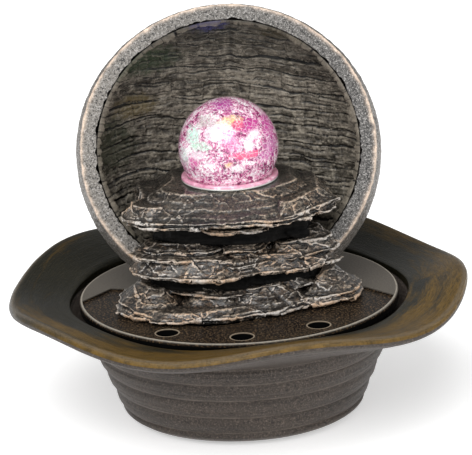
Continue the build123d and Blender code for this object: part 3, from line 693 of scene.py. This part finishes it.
def make_basin():
    """Bowl and brim as one skin, from the middle of the base out, over the lip and back to the floor."""
    grooves = (5.0, 10.5, 23.0, 36.5, 49.0, 61.0)
    flare = 0.412
    base_radius = 76.5
    outside = [(0.0, foot_height), (base_radius - 14, foot_height), (base_radius - 4, foot_height),
               (base_radius - 1.2, foot_height + 0.7)]
    groove_marks = [0, 0, 0, 0]
    for low, high in zip(grooves, grooves[1:]):
        steps = max(6, int((high - low) / 0.6))
        for step in range(steps):
            share = step / steps
            height = low + (high - low) * share
            bulge = 2.0 * (1 - abs(2 * share - 0.8) ** 2.4) if share < 0.95 else 0.3
            outside.append((base_radius + flare * (height - grooves[0]) + max(bulge, 0), height))
            groove_marks.append(max(0.0, 1 - min(share, 1 - share) * (high - low) / 1.0))
    keys = [(99.6, 61.0, 0.0), (104.0, 63.2, 0.03), (112.0, 66.5, 0.15), (130.0, 72.5, 0.55),
            (143.0, 78.0, 0.9), (149.0, 81.3, 1.0), (150.5, 84.0, 1.0), (148.8, 86.9, 1.0),
            (144.5, 87.4, 0.95), (130.0, 84.2, 0.75), (118.0, 81.2, 0.5), (113.0, 80.2, 0.4),
            (111.0, 79.0, 0.3), (110.5, 76.0, 0.1), (110.5, 74.0, 0.0), (104.5, 67.2, 0.0),
            (94.1, 61.0, 0.0)]
    per_span = 14
    brim = catmull(keys, per_span)
    profile = np.vstack([np.array([(radius, height, 0.0) for radius, height in outside]), brim,
                         [(84.5, 36.5, 0), (74.8, 14.0, 0), (68.0, 8.0, 0), (0.0, 8.0, 0)]])
    groove = np.concatenate([groove_marks, np.zeros(len(profile) - len(groove_marks))])
    columns = 720
    angle = full_turn(columns)
    radius, height, share = np.split(profile, 3, axis=1)
    radius = radius - 0.5 * share * np.cos(LOBES * (angle - LOBE_TURN))
    height = height + share * brim_wave(angle)
    points = stack(radius * np.cos(angle), radius * np.sin(angle), height)
    outward = stack(np.cos(angle), np.sin(angle), 0.0)
    rough = fractal(points / np.array([40, 40, 6]), 4, 3) * 0.45
    turned = np.cos(angle)
    rings = noise(stack(profile[:, 1:2] * 0.9 + 0.8 * turned, 0.9 * turned, profile[:, 0:1] * 0.3), 5)
    depth = (rough + 0.32 * rings) * (profile[:, 0:1] > 60)
    points = (points + outward * depth[..., None]).reshape(-1, 3)
    faces = np.array(grid_faces(len(profile), columns))
    # the brim's own finish runs from its outer edge to the foot of its inner step
    first_row = len(outside) + per_span * 6
    last_row = len(outside) + per_span * 14
    row_of_face = np.repeat(np.arange(len(profile) - 1), columns)
    is_brim = (row_of_face > first_row) & (row_of_face < last_row)
    middles = points[faces].mean(axis=1)
    from_outlet = np.hypot(middles[:, 0], middles[:, 2] - OUTLET_HEIGHT)
    outlet = (middles[:, 1] > 0) & (middles[:, 1] < 103) & (from_outlet < OUTLET_CUT)
    added, added_faces = boss_and_lugs()
    skin = faces[~outlet].tolist()
    skin.extend([[index + len(points) for index in face] for face in added_faces])
    made = new_object("basin_body", np.concatenate([points, added]), skin, "basin", ["basin"])
    made.data.materials.append(bowl_material())
    made.data.materials.append(brim_material())
    marks = np.concatenate([is_brim[~outlet], np.zeros(len(added_faces), dtype=bool)])
    made.data.polygons.foreach_set("material_index", marks.astype(np.int32))
    spare = np.zeros(len(added))
    across = np.repeat(np.clip((profile[:, 0] - 110) / 40, 0, 1), columns)
    # crest marks the top of the lip, where the painted highlight lies
    crest = np.exp(-((profile[:, 0] - 148.2) / 1.5) ** 2) * (profile[:, 1] > 84)
    # the gold lies thickest on the front left, the front and the right, and fades round the back
    gilding = 0.5 + 0.5 * np.cos(angle - math.radians(-60)) + 0.15 * np.cos(3 * angle)
    for name, values in (("groove", np.repeat(groove, columns)),
                         ("around", np.tile(angle * 0.13, len(profile))),
                         ("across", across * 0.04), ("crest", np.repeat(crest, columns)),
                         ("gilding", np.tile(np.clip(gilding, 0, 1), len(profile)))):
        set_attribute(made, name, np.concatenate([values, spare]))
    return made


# ---- Moon shell and slate wall ----
def globe_meridian(turn, radius, front, back):
    """Distance from the axis and depth along Y at an angle from the back pole."""
    depth = np.where(turn < math.pi / 2, back, front)
    return radius * np.sin(turn), globe_y + depth * np.cos(turn)


def slice_turn(around, radius, front, back):
    """Angle from the back pole at which each meridian meets the slice."""
    low = np.zeros_like(around)
    high = np.full_like(around, math.pi)
    for _ in range(40):
        middle = (low + high) / 2
        reach, depth = globe_meridian(middle, radius, front, back)
        inside = depth > slice_y + slice_lean * reach * np.sin(around)
        low = np.where(inside, middle, low)
        high = np.where(inside, high, middle)
    return low


def globe_sheet(around, shares, inset, depth_inset):
    """Points of the sliced globe's skin: one row per share of the way from the back pole to the slice."""
    radius = globe_radius - inset
    front = globe_front - depth_inset
    back = globe_back - depth_inset
    last = slice_turn(around, radius, front, back)
    reach, depth = globe_meridian(shares[:, None] * last[None], radius, front, back)
    return stack(column_x + reach * np.cos(around), depth, globe_z + reach * np.sin(around))


def make_shell():
    """The sliced hollow globe: outer skin, rim face and inner skin, with hammered dents."""
    columns = 900
    around = full_turn(columns)
    outer_shares = np.concatenate([np.linspace(0, 0.9, 130), np.linspace(0.903, 1.0, 30)])
    outer = globe_sheet(around, outer_shares, 0, 0)
    inner = globe_sheet(around, np.linspace(1.0, 0.0, 60), shell_wall, shell_depth_wall)
    across = np.linspace(0, 1, 18)[1:-1]
    rim = outer[-1][None] * (1 - across)[:, None, None] + inner[0][None] * across[:, None, None]
    points = np.concatenate([outer, rim, inner])
    rows = len(points)
    corner = len(outer) - 1
    inner_corner = corner + len(across) + 1
    row = np.arange(rows)
    # the outer corner is rounded to a bevel, and a pale edge of uneven width runs along it, partly wear and
    # partly painted highlight
    rounded = points.copy()
    for _ in range(5):
        rounded[1:-1] = (rounded[:-2] + rounded[2:] + rounded[1:-1] * 2) / 4
    near_corner = (np.abs(row - corner) <= 6)[:, None, None]
    points = np.where(near_corner, rounded, points)
    ring = stack(np.cos(around), np.sin(around), 0.0)
    wander = noise(6 * ring, 15)
    fray = fractal(26 * ring, 3, 17)
    edge = np.exp(-((row[:, None] - corner + 1.0 - 1.2 * wander - 1.3 * fray) / 3.0) ** 2)
    edge = edge * np.clip(0.85 + 0.5 * fray, 0.4, 1)[None]
    face = ((row > corner) & (row <= inner_corner)).astype(float)
    # the inner corner is broken unevenly where the slate meets it
    crumble = np.clip(1 - np.abs(row - inner_corner) / 5, 0, 1)[:, None] * np.clip(fray + 0.2, 0, 1)[None]
    centre = np.array([column_x, globe_y, globe_z])
    outward = unit(points - centre)
    _, from_dent = facets(points / 3.4, 11)
    dents = from_dent - 0.45
    lumps = fractal(points / 18, 3, 21) * 0.5
    points = points + outward * (0.7 * (dents + lumps) + 1.6 * crumble)[..., None]
    made = new_object("moon_shell_body", points, grid_faces(rows, columns),
                      "cascade", ["moon_shell"])
    set_attribute(made, "edge", np.clip(edge, 0, 1))
    set_attribute(made, "face", np.repeat(face, columns))
    cut_below(made, deck_top)
    dress(made, shell_material())
    return made


def cut_below(made, height):
    """Cuts a closed mesh flat at a height and fills the cut."""
    cut = bmesh.new()
    cut.from_mesh(made.data)
    geometry = cut.verts[:] + cut.edges[:] + cut.faces[:]
    result = bmesh.ops.bisect_plane(cut, geom=geometry, plane_co=(0, 0, height * MM),
                                    plane_no=(0, 0, 1), clear_inner=True)
    rim_edges = [item for item in result["geom_cut"] if isinstance(item, bmesh.types.BMEdge)]
    bmesh.ops.holes_fill(cut, edges=rim_edges, sides=0)
    cut.to_mesh(made.data)
    cut.free()


def strata(points):
    """Slate standing out in ragged plates: how far, and how near each point is to an open joint."""
    warped = points[..., 2] + 5.0 * noise(points / np.array([34, 34, 60]), 31)
    warped = warped + 1.9 * noise(points / np.array([11, 11, 30]), 32)
    warped = warped + 0.45 * noise(points / np.array([3.2, 3.2, 8]), 33) + 0.05 * points[..., 0]
    total = np.zeros(points.shape[:-1])
    joint = np.zeros(points.shape[:-1])
    for pitch, depth, reach, seed in ((12.0, 2.6, 44, 41), (5.6, 1.6, 24, 43), (2.6, 0.6, 13, 47)):
        level = warped / pitch + 0.35 * noise(points / np.array([50, 50, 26]), seed + 2)
        layer = np.floor(level)
        within = level - layer
        along = stack(points[..., 0] / reach + 3.7 * layer, points[..., 1] / reach, layer * 5.1)
        block = noise(along, seed)
        step = noise(along * 3.1, seed + 1)
        total = total + depth * (0.5 + 0.5 * block + 0.18 * np.sign(step)) * (0.70 + 0.30 * within)
        near = np.minimum(within, 1 - within) * pitch
        width = 0.3 + 0.03 * pitch
        opened = np.clip(0.5 + 1.6 * noise(along * 1.7, seed + 3), 0, 1) * depth / 2.0
        joint = np.maximum(joint, np.exp(-(near / width) ** 2) * opened)
    chips, _ = facets(points / np.array([7, 7, 3.2]), 51)
    total = total + 0.55 * chips + 0.45 * fractal(points / np.array([4, 4, 1.8]), 3, 53)
    # an upright crease where the two halves of the cast meet behind the ball
    wander = 2.2 * noise(points / 12, 57) + 1.0 * noise(points / 4, 58)
    crease = np.exp(-((points[..., 0] - CREASE_X - wander) / 2.4) ** 2)
    crease = crease * np.clip((points[..., 2] - 200) / 25, 0, 1) * (0.65 + 0.35 * noise(points / 5, 59))
    return total - 1.3 * joint - 1.6 * crease, np.maximum(joint, 0.5 * crease)


def make_wall():
    """Slate lining of the alcove: rows are levels, columns run from the left rim round the back."""
    radius = globe_radius - shell_wall - 0.4
    front = globe_front - shell_depth_wall - 0.4
    back = globe_back - shell_depth_wall - 0.4
    rows = 400
    columns = 620
    low = 92.0
    high = globe_z + radius
    level = low + (high - low) * np.sin(np.linspace(0, math.pi / 2, rows)) ** 0.9
    drop = np.minimum(level - globe_z, radius)
    shrink = np.sqrt(np.maximum(1 - (drop / radius) ** 2, 0))
    half_width = radius * shrink
    plane_depth = globe_y - (slice_y + slice_lean * drop)
    rim_depth = np.clip(plane_depth / np.maximum(front * shrink, 1e-3), -1, 1)
    end = np.arcsin(rim_depth)
    share = np.linspace(0, 1, columns)
    turn = -end[:, None] + (math.pi + 2 * end)[:, None] * share[None]
    depth = np.where(np.sin(turn) > 0, back, front)
    x = column_x - half_width[:, None] * np.cos(turn)
    y = globe_y + depth * shrink[:, None] * np.sin(turn)
    points = stack(x, y, level[:, None])
    normal = unit((points - np.array([column_x, globe_y, globe_z])) / stack(radius, depth, radius) ** 2)
    offset, joint = strata(points)
    face = points - normal * (np.maximum(offset, 0.0) + 0.8)[..., None]
    limit = slice_y + slice_lean * (face[..., 2] - globe_z) - 0.6
    face[..., 1] = np.maximum(face[..., 1], limit)
    sheet = np.concatenate([points[:, :1], face, points[:, -1:]], axis=1)
    made = new_object("slate_wall_body", sheet, grid_faces(rows, columns + 2, closed=False), "cascade",
                      ["slate_wall"])
    # painted shadow: the plates' ends behind the rim are darkened, carried in the joint attribute
    from_rim = np.minimum(np.arange(columns), np.arange(columns)[::-1])
    painted_rim_shadow = np.clip(1 - from_rim / 4, 0, 1) * 0.3
    joint = np.maximum(joint, painted_rim_shadow[None])
    set_attribute(made, "joint", np.concatenate([joint[:, :1], joint, joint[:, -1:]], axis=1))
    mark_ridges_and_hollows(made, rounds=5, gain=1.8)
    dress(made, wall_material())
    return made


# ---- Ledges ----
def ragged(outline, seed, pitch=1.3):
    """An outline cut into short runs and jittered as broken slate is."""
    outline = np.asarray(outline, dtype=float)
    points = []
    for start, end in zip(outline, np.roll(outline, -1, axis=0)):
        runs = max(2, int(np.linalg.norm(end - start) / pitch))
        points.extend(start + (end - start) * step / runs for step in range(runs))
    points = np.array(points)
    spot = np.column_stack([points, np.zeros(len(points))])
    for size, depth, key in ((12.0, 2.2, seed), (5.5, 1.5, seed + 1), (2.4, 0.8, seed + 2)):
        points = points + depth * stack(noise(spot / size, key), noise(spot / size, key + 50))
    return points


def slab(outline, low, high, seed, crown=5.0, lip=0.3, slope=(0.0, 0.0), undercut=2.0, centre=None):
    """One flake: a thin ragged lip, then a broken face that slopes in to the top."""
    edge = ragged(outline, seed)
    middle = np.asarray(outline, dtype=float).mean(axis=0) if centre is None else np.array(centre)
    calm = edge
    for _ in range(40):
        calm = (np.roll(calm, 1, axis=0) + calm + np.roll(calm, -1, axis=0)) / 3
    spot = np.column_stack([edge, np.zeros(len(edge))])
    scallop = 1.1 * np.abs(noise(spot / 8, seed + 5))[:, None]
    insets = [(0.0, undercut, 0.3), (lip * 0.35, 0.4, 0.0), (lip * 0.9, 0.0, 0.0), (lip, 0.9, 0.1),
              (lip + 0.02, 1.3 + scallop, 0.3), ((1 + 3 * lip) / 4, 0.3 * crown + scallop, 0.8),
              ((1 + lip) / 2, 0.55 * crown + 0.6 * scallop, 0.95), (1.0, crown, 1.0)]
    rings = []
    for share, inset, calmness in insets:
        away = edge + (calm - edge) * calmness - middle
        reach = np.linalg.norm(away, axis=1, keepdims=True)
        ring = middle + away * np.clip(1 - inset / reach, 0.05, 1)
        lift = (ring[:, 0] - column_x) * slope[0] + (ring[:, 1] - column_y) * slope[1]
        wave = 0.9 * noise(np.column_stack([ring / 34, np.zeros(len(ring))]), seed)
        rings.append(np.column_stack([ring, low + (high - low) * share + lift + wave]))
    count = len(edge)
    faces = grid_faces(len(rings), count)
    faces.append(list(range(count))[::-1])
    faces.append(list(range((len(rings) - 1) * count, len(rings) * count)))
    return np.concatenate(rings), faces


def rock(name, slabs, replaces, voxel=0.5, floor=None):
    """Slabs fused into one stone by a voxel remesh, then chipped, terraced and grained."""
    points = []
    faces = []
    start = 0
    for slab_points, slab_faces in slabs:
        points.append(slab_points)
        faces.extend([[index + start for index in face] for face in slab_faces])
        start += len(slab_points)
    made = new_object(name, np.concatenate(points), faces, "cascade", replaces)
    remesh = made.modifiers.new("fuse", "REMESH")
    remesh.mode = "VOXEL"
    remesh.voxel_size = voxel * MM
    graph = bpy.context.evaluated_depsgraph_get()
    fused = bpy.data.meshes.new_from_object(made.evaluated_get(graph))
    made.modifiers.clear()
    made.data = fused
    places, normals, _ = mesh_arrays(fused)
    flat = np.clip((normals[:, 2] - 0.55) / 0.35, 0, 1)
    drift = [2.6 * noise(places / 9, 61 + axis) + 1.1 * noise(places / 3, 81 + axis) for axis in range(3)]
    warped = places + stack(*drift) * (1, 1, 0.6)
    large, _ = facets((warped + np.outer(warped[:, 0], (0, 0, 0.30))) / np.array([24, 18, 8]), 67)
    small, _ = facets((warped - np.outer(warped[:, 0], (0, 0, 0.35))) / np.array([11, 9, 4]), 69)
    chips = large * 1.3 + small * 0.55
    grain = fractal(places / np.array([6, 6, 1.6]), 4, 71) * 0.32
    moved = places + normals * (chips * (1 - 0.8 * flat) + grain)[:, None]
    # on the sloping tops the layers end in low steps
    height = moved[:, 2] + 2.2 * fractal(moved / np.array([24, 24, 40]), 3, 73)
    part = height / TERRACE - np.floor(height / TERRACE)
    moved[:, 2] += flat * TERRACE * 0.22 * (part ** 6 - part + 0.36)
    if floor is not None:
        moved[:, 2] = np.maximum(moved[:, 2], floor)
    fused.vertices.foreach_set("co", (moved * MM).ravel())
    fused.update()
    fused.polygons.foreach_set("use_smooth", np.ones(len(fused.polygons), dtype=bool))
    mark_ridges_and_hollows(made, rounds=2, gain=5.0)
    mark_ridges_and_hollows(made, rounds=10, gain=1.6, ridges="halo", creases=None)
    set_attribute(made, "crown", flat)
    return made


lower_outline = [(-60, 12), (-80, -12), (-79, -34), (-66, -50), (-52, -61), (-40, -63), (-20, -61), (1, -60),
                 (20, -53), (36, -46), (56, -38), (72, -32), (80, -16), (79, 0), (68, 12)]
middle_outline = [(-46, 20), (-50, -2), (-66, -14), (-71, -24), (-68, -38), (-60, -48), (-46, -53),
                  (-28, -57), (-12, -59), (-3, -56), (11, -46), (30, -43), (45, -40), (60, -32),
                  (67, -22), (60, -10), (46, -2), (44, 20), (30, 48), (-30, 48)]
upper_outline = [(-64, 30), (-63, -8), (-72, -28), (-71, -40), (-58, -52), (-45, -56), (-28, -57),
                 (-8, -59), (14, -59), (34, -57), (44, -48), (57, -35), (67, -24), (62, -6), (60, 30),
                 (34, 50), (-38, 50)]


def make_ledges():
    """Three broken ledges and the dark rock between them."""
    lower = rock("lower_ledge_stone", [
        slab([(0.88 * x, 0.86 * y) for x, y in lower_outline], 78.0, 83, 100, 1.0, 0.5, undercut=0.0),
        slab(lower_outline, 80.6, 86.5, 101, 7.0, 0.32, undercut=3.0),
        slab([(-60, 10), (-79, -13), (-78, -34), (-66, -47), (-54, -54), (-46, -50), (-34, -40), (-24, 12)],
             82, 95.5, 103, 15.0, 0.12, (-0.06, 0.05)),
        slab([(-44, -8), (-50, -46), (-40, -58), (-24, -62), (-4, -60), (10, -52), (12, -44), (-4, -8)],
             82, 96, 105, 20.0, 0.12, (0.02, 0.10)),
        slab([(-14, -8), (-14, -48), (2, -55), (20, -53), (34, -46), (46, -38), (40, -6)],
             85.5, 98, 107, 18.0, 0.12, (0.03, 0.10)),
        slab([(8, -6), (14, -49), (26, -52), (40, -45), (47, -36), (42, -6)], 82.5, 95, 109, 14.0, 0.14,
             (0.06, 0.10)),
        slab([(34, 8), (40, -36), (56, -40), (72, -33), (81, -16), (79, 2), (60, 12)],
             82, 96.5, 111, 17.0, 0.14, (0.05, 0.03)),
        slab([(-58, 8), (-54, -30), (-36, -40), (-20, -47), (2, -46), (24, -36), (50, -28), (58, 6)],
             91.5, 98.5, 113, 9.0, 0.2),
    ], ["lower_ledge"], floor=78.6)
    core_low = rock("lower_core_stone", [
        slab([(-44, 28), (-55, -12), (-57, -26), (-45, -39), (-8, -43), (14, -36), (47, -26), (53, -12),
              (41, 28), (20, 46), (-24, 46)], 95, 109, 115, 1.0, 0.9, undercut=0.0),
    ], ["core_lower"], voxel=1.1)
    middle = rock("middle_ledge_stone", [
        slab(middle_outline, 105, 117, 117, 10.0, 0.22),
        slab([(-44, 18), (-50, -4), (-67, -15), (-71, -28), (-62, -43), (-46, -49), (-28, -50), (-12, -50),
              (-9, -40), (-6, 18)], 115.5, 119.0, 119, 4.0, 0.6, undercut=0.5),
        slab([(-44, 18), (-49, -4), (-62, -12), (-65, -27), (-54, -38), (-36, -42), (-22, -43), (-10, -36),
              (-6, 18)], 119.2, 125, 121, 7.0, 0.3, undercut=1.0),
        slab([(-14, 18), (-12, -47), (0, -51), (14, -45), (26, -36), (28, 18)], 111, 119.5, 123, 8.0, 0.3),
        slab([(-12, 18), (-10, -42), (2, -45), (16, -40), (22, -30), (22, 18)], 119.2, 123.5, 125, 5.0, 0.4,
             undercut=1.0),
        slab([(16, 18), (18, -36), (34, -41), (50, -36), (62, -28), (67, -20), (58, -8), (44, 0), (42, 18)],
             109, 121, 127, 9.0, 0.25, (0.08, 0.02)),
        slab([(30, 18), (36, -28), (52, -30), (63, -22), (56, -8), (44, 0), (42, 18)],
             118, 125, 129, 8.0, 0.3, (0.06, 0.02)),
    ], ["middle_ledge"])
    core_up = rock("upper_core_stone", [
        slab([(-52, 28), (-54, -20), (-41, -34), (-8, -38), (25, -36), (46, -24), (50, -10), (48, 28),
              (33, 50), (-36, 50)], 124, 143, 131, 1.0, 0.9, undercut=0.0),
    ], ["core_upper"], voxel=1.1)
    upper = rock("upper_ledge_stone", [
        slab(upper_outline, 141.2, 148, 133, 9.0, 0.3, (0.015, 0.0)),
        slab([(-64, 28), (-62, -8), (-72, -26), (-71, -40), (-59, -51), (-46, -54), (-36, -44), (-34, 28)],
             143, 153.5, 135, 8.0, 0.3),
        slab(upper_outline, 144, 159.5, 137, 25.0, 0.12, centre=(column_x, column_y), undercut=4.0),
        slab([(16, 28), (20, -56), (34, -57), (44, -48), (57, -35), (67, -24), (61, -6), (56, 28)],
             142, 152, 139, 11.0, 0.25, (0.06, 0.0)),
        slab([(-24, 20), (-22, -47), (-8, -51), (8, -51), (22, -48), (24, 20)], 134.8, 137.2, 141, 1.0, 0.6,
             undercut=1.0),
    ], ["upper_ledge"])
    wet = ledge_material()
    for stone in (lower, middle, upper):
        dress(stone, wet)
    shadow = core_material()
    for stone in (core_low, core_up):
        dress(stone, shadow)


# ---- Ball and cup ----
def lathe(name, profile, body, replaces, columns=192):
    """A profile of (radius, height) pairs turned about the ball's upright axis."""
    radius, height = np.split(np.asarray(profile, dtype=float), 2, axis=1)
    angle = full_turn(columns)
    points = stack(column_x + radius * np.cos(angle), column_y + radius * np.sin(angle), height)
    return new_object(name, points, grid_faces(len(profile), columns), body, replaces)


def make_ball():
    """The glass ball, and the lit cup that it turns in."""
    turn = np.linspace(-math.pi / 2, math.pi / 2, 97)
    profile = stack(ball_radius * np.cos(turn), ball_centre[2] + ball_radius * np.sin(turn))
    ball = lathe("ball_glass", profile, "ball", ["glass_ball"])
    dress(ball, ball_material())
    gap = 0.5
    inner = ball_radius + gap
    outer = inner + 2
    flange_low, flange_high, flange_radius = ball_centre[2] - 20.5, ball_centre[2] - 17.5, 31.5
    top_turn = math.asin(-(ball_centre[2] - flange_high) / inner)
    low_turn = math.asin(-(ball_centre[2] - flange_low) / outer)
    inside = np.linspace(-math.pi / 2 + 0.06, top_turn, 30)
    outside = np.linspace(low_turn, -math.pi / 2 + 0.1, 30)
    profile = [(2.0, ball_centre[2] - inner)]
    profile += [(inner * math.cos(t), ball_centre[2] + inner * math.sin(t)) for t in inside]
    profile += [(flange_radius - 1.2, flange_high), (flange_radius - 0.3, flange_high - 0.4),
                (flange_radius, flange_high - 1.2), (flange_radius, flange_low + 0.5),
                (flange_radius - 0.5, flange_low)]
    profile += [(outer * math.cos(t), ball_centre[2] + outer * math.sin(t)) for t in outside]
    cup_bottom = box_mm("ball_cup")[0][2]
    profile += [(3.5, ball_centre[2] - outer), (3.5, cup_bottom), (2.0, cup_bottom),
                (2.0, ball_centre[2] - inner)]
    cup = lathe("cup_acrylic", profile, "cascade", ["ball_cup"])
    dress(cup, lit_acrylic())


# ---- CAD pieces that stay, with their finishes ----
def dress_cad_pieces():
    """Materials for the deck and the hidden works."""
    rubber = plain_material("black_rubber", (0.02, 0.02, 0.02), 0.75)
    plastic = plain_material("pump_plastic", (0.025, 0.025, 0.028), 0.45)
    finishes = {
        "deck": deck_material(),
        "foot_pads": rubber,
        "cable_grommet": rubber,
        "deck_pads": rubber,
        "suction_cups": rubber,
        "pump_cable_gland": rubber,
        "shaft_bushes": rubber,
        "pump_housing": plastic,
        "volute_cover": plastic,
        "intake_cover": plastic,
        "flow_slider": plain_material("slider_plastic", (0.12, 0.125, 0.13), 0.5),
        "impeller": plain_material("impeller_plastic", (0.75, 0.76, 0.74), 0.3),
        "rotor_magnet": plain_material("magnet_ferrite", (0.05, 0.05, 0.055), 0.5, metallic=0.6),
        "rotor_shaft": plain_material("white_ceramic", (0.85, 0.85, 0.82), 0.2),
        "stator_core": plain_material("stator_steel", (0.3, 0.3, 0.31), 0.4, metallic=1.0),
        "stator_coil": plain_material("copper_winding", (0.6, 0.25, 0.1), 0.35, metallic=1.0),
        "pump_potting": plain_material("potting_resin", (0.02, 0.02, 0.02), 0.3),
        "riser_hose": plain_material("clear_hose", (0.7, 0.72, 0.71), 0.3, transmission=0.5),
        "light_housing": plain_material("lamp_plastic", (0.8, 0.8, 0.78), 0.3),
        "light_board": plain_material("circuit_board", (0.02, 0.12, 0.05), 0.4),
        "leds": plain_material("led_emitter", (0.95, 0.6, 0.78), 0.2),
        "light_lens": plain_material("clear_acrylic", (0.9, 0.92, 0.93), 0.08, transmission=0.8),
        "shell_screws": plain_material("screw_steel", (0.55, 0.55, 0.55), 0.3, metallic=1.0),
    }
    for node, material in finishes.items():
        dress(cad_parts[node], material)


# ---- Floor, light and camera ----
def make_floor():
    """A plain pale floor that fades into the pale background."""
    half = 3000
    points = [(-half, -half, 0), (half, -half, 0), (half, half, 0), (-half, half, 0)]
    mesh = bpy.data.meshes.new("floor")
    mesh.from_pydata([tuple(value * MM for value in point) for point in points], [], [(0, 1, 2, 3)])
    floor = bpy.data.objects.new("floor", mesh)
    show(floor)
    shader = Shader("floor_pale")
    shader.colour = (0.9, 0.9, 0.9, 1)
    pale = shader.finish(Roughness=0.9, Specular_IOR_Level=0.0, Emission_Color=(1, 1, 1, 1),
                         Emission_Strength=FLOOR_GLOW)
    floor.data.materials.append(pale)


def aim(place, target):
    """The turn of a lamp at a place that shines towards a target."""
    return (Vector(target) - Vector(place)).to_track_quat("-Z", "Y").to_euler()


def area_light(name, place, target, size_m, power):
    """A soft square light aimed at a point, in metres."""
    light = bpy.data.lights.new(name, "AREA")
    light.shape = "SQUARE"
    light.size = size_m
    light.energy = power
    lamp = bpy.data.objects.new(name, light)
    lamp.location = place
    lamp.rotation_euler = aim(place, target)
    show(lamp)


def make_lights():
    """Soft studio light: a broad key high at the left front, a weak fill and a white surround."""
    world = bpy.data.worlds.new("studio")
    world.use_nodes = True
    tree = world.node_tree
    surround = tree.nodes["Background"]
    surround.inputs["Color"].default_value = (1, 1, 1, 1)
    surround.inputs["Strength"].default_value = SURROUND_STRENGTH
    bpy.context.scene.world = world
    key = bpy.data.lights.new("key", "SUN")
    key.energy = KEY_STRENGTH
    key.angle = math.radians(KEY_SOFTNESS)
    lamp = bpy.data.objects.new("key", key)
    lamp.rotation_euler = aim(KEY_FROM, (0, 0, 0))
    show(lamp)
    area_light("fill", (1.1, -1.2, 0.5), (0, 0, 0.13), 0.9, FILL_POWER)


def make_camera():
    """A long lens a little above the rim, rolled slightly so that the object leans to the left."""
    elevation = math.radians(17.5)
    roll = math.radians(-2.6)
    distance_m = 2.5
    target = Vector((0.0, 0.0, 0.124))
    back = Vector((0, -math.cos(elevation), math.sin(elevation)))
    right = Vector((1, 0, 0))
    up = Vector((0, math.sin(elevation), math.cos(elevation)))
    rolled_right = right * math.cos(roll) + up * math.sin(roll)
    rolled_up = up * math.cos(roll) - right * math.sin(roll)
    camera = bpy.data.cameras.new("camera")
    camera.sensor_width = 36
    camera.lens = 292.6
    camera.clip_start = 0.1
    rig = bpy.data.objects.new("camera", camera)
    axes = Matrix((rolled_right, rolled_up, back)).transposed().to_4x4()
    rig.matrix_world = Matrix.Translation(target + back * distance_m) @ axes
    show(rig)
    bpy.context.scene.camera = rig
    bpy.context.scene.view_settings.view_transform = "Standard"


make_camera()
make_basin()
make_shell()
make_wall()
make_ledges()
make_ball()
dress_cad_pieces()
make_floor()
make_lights()
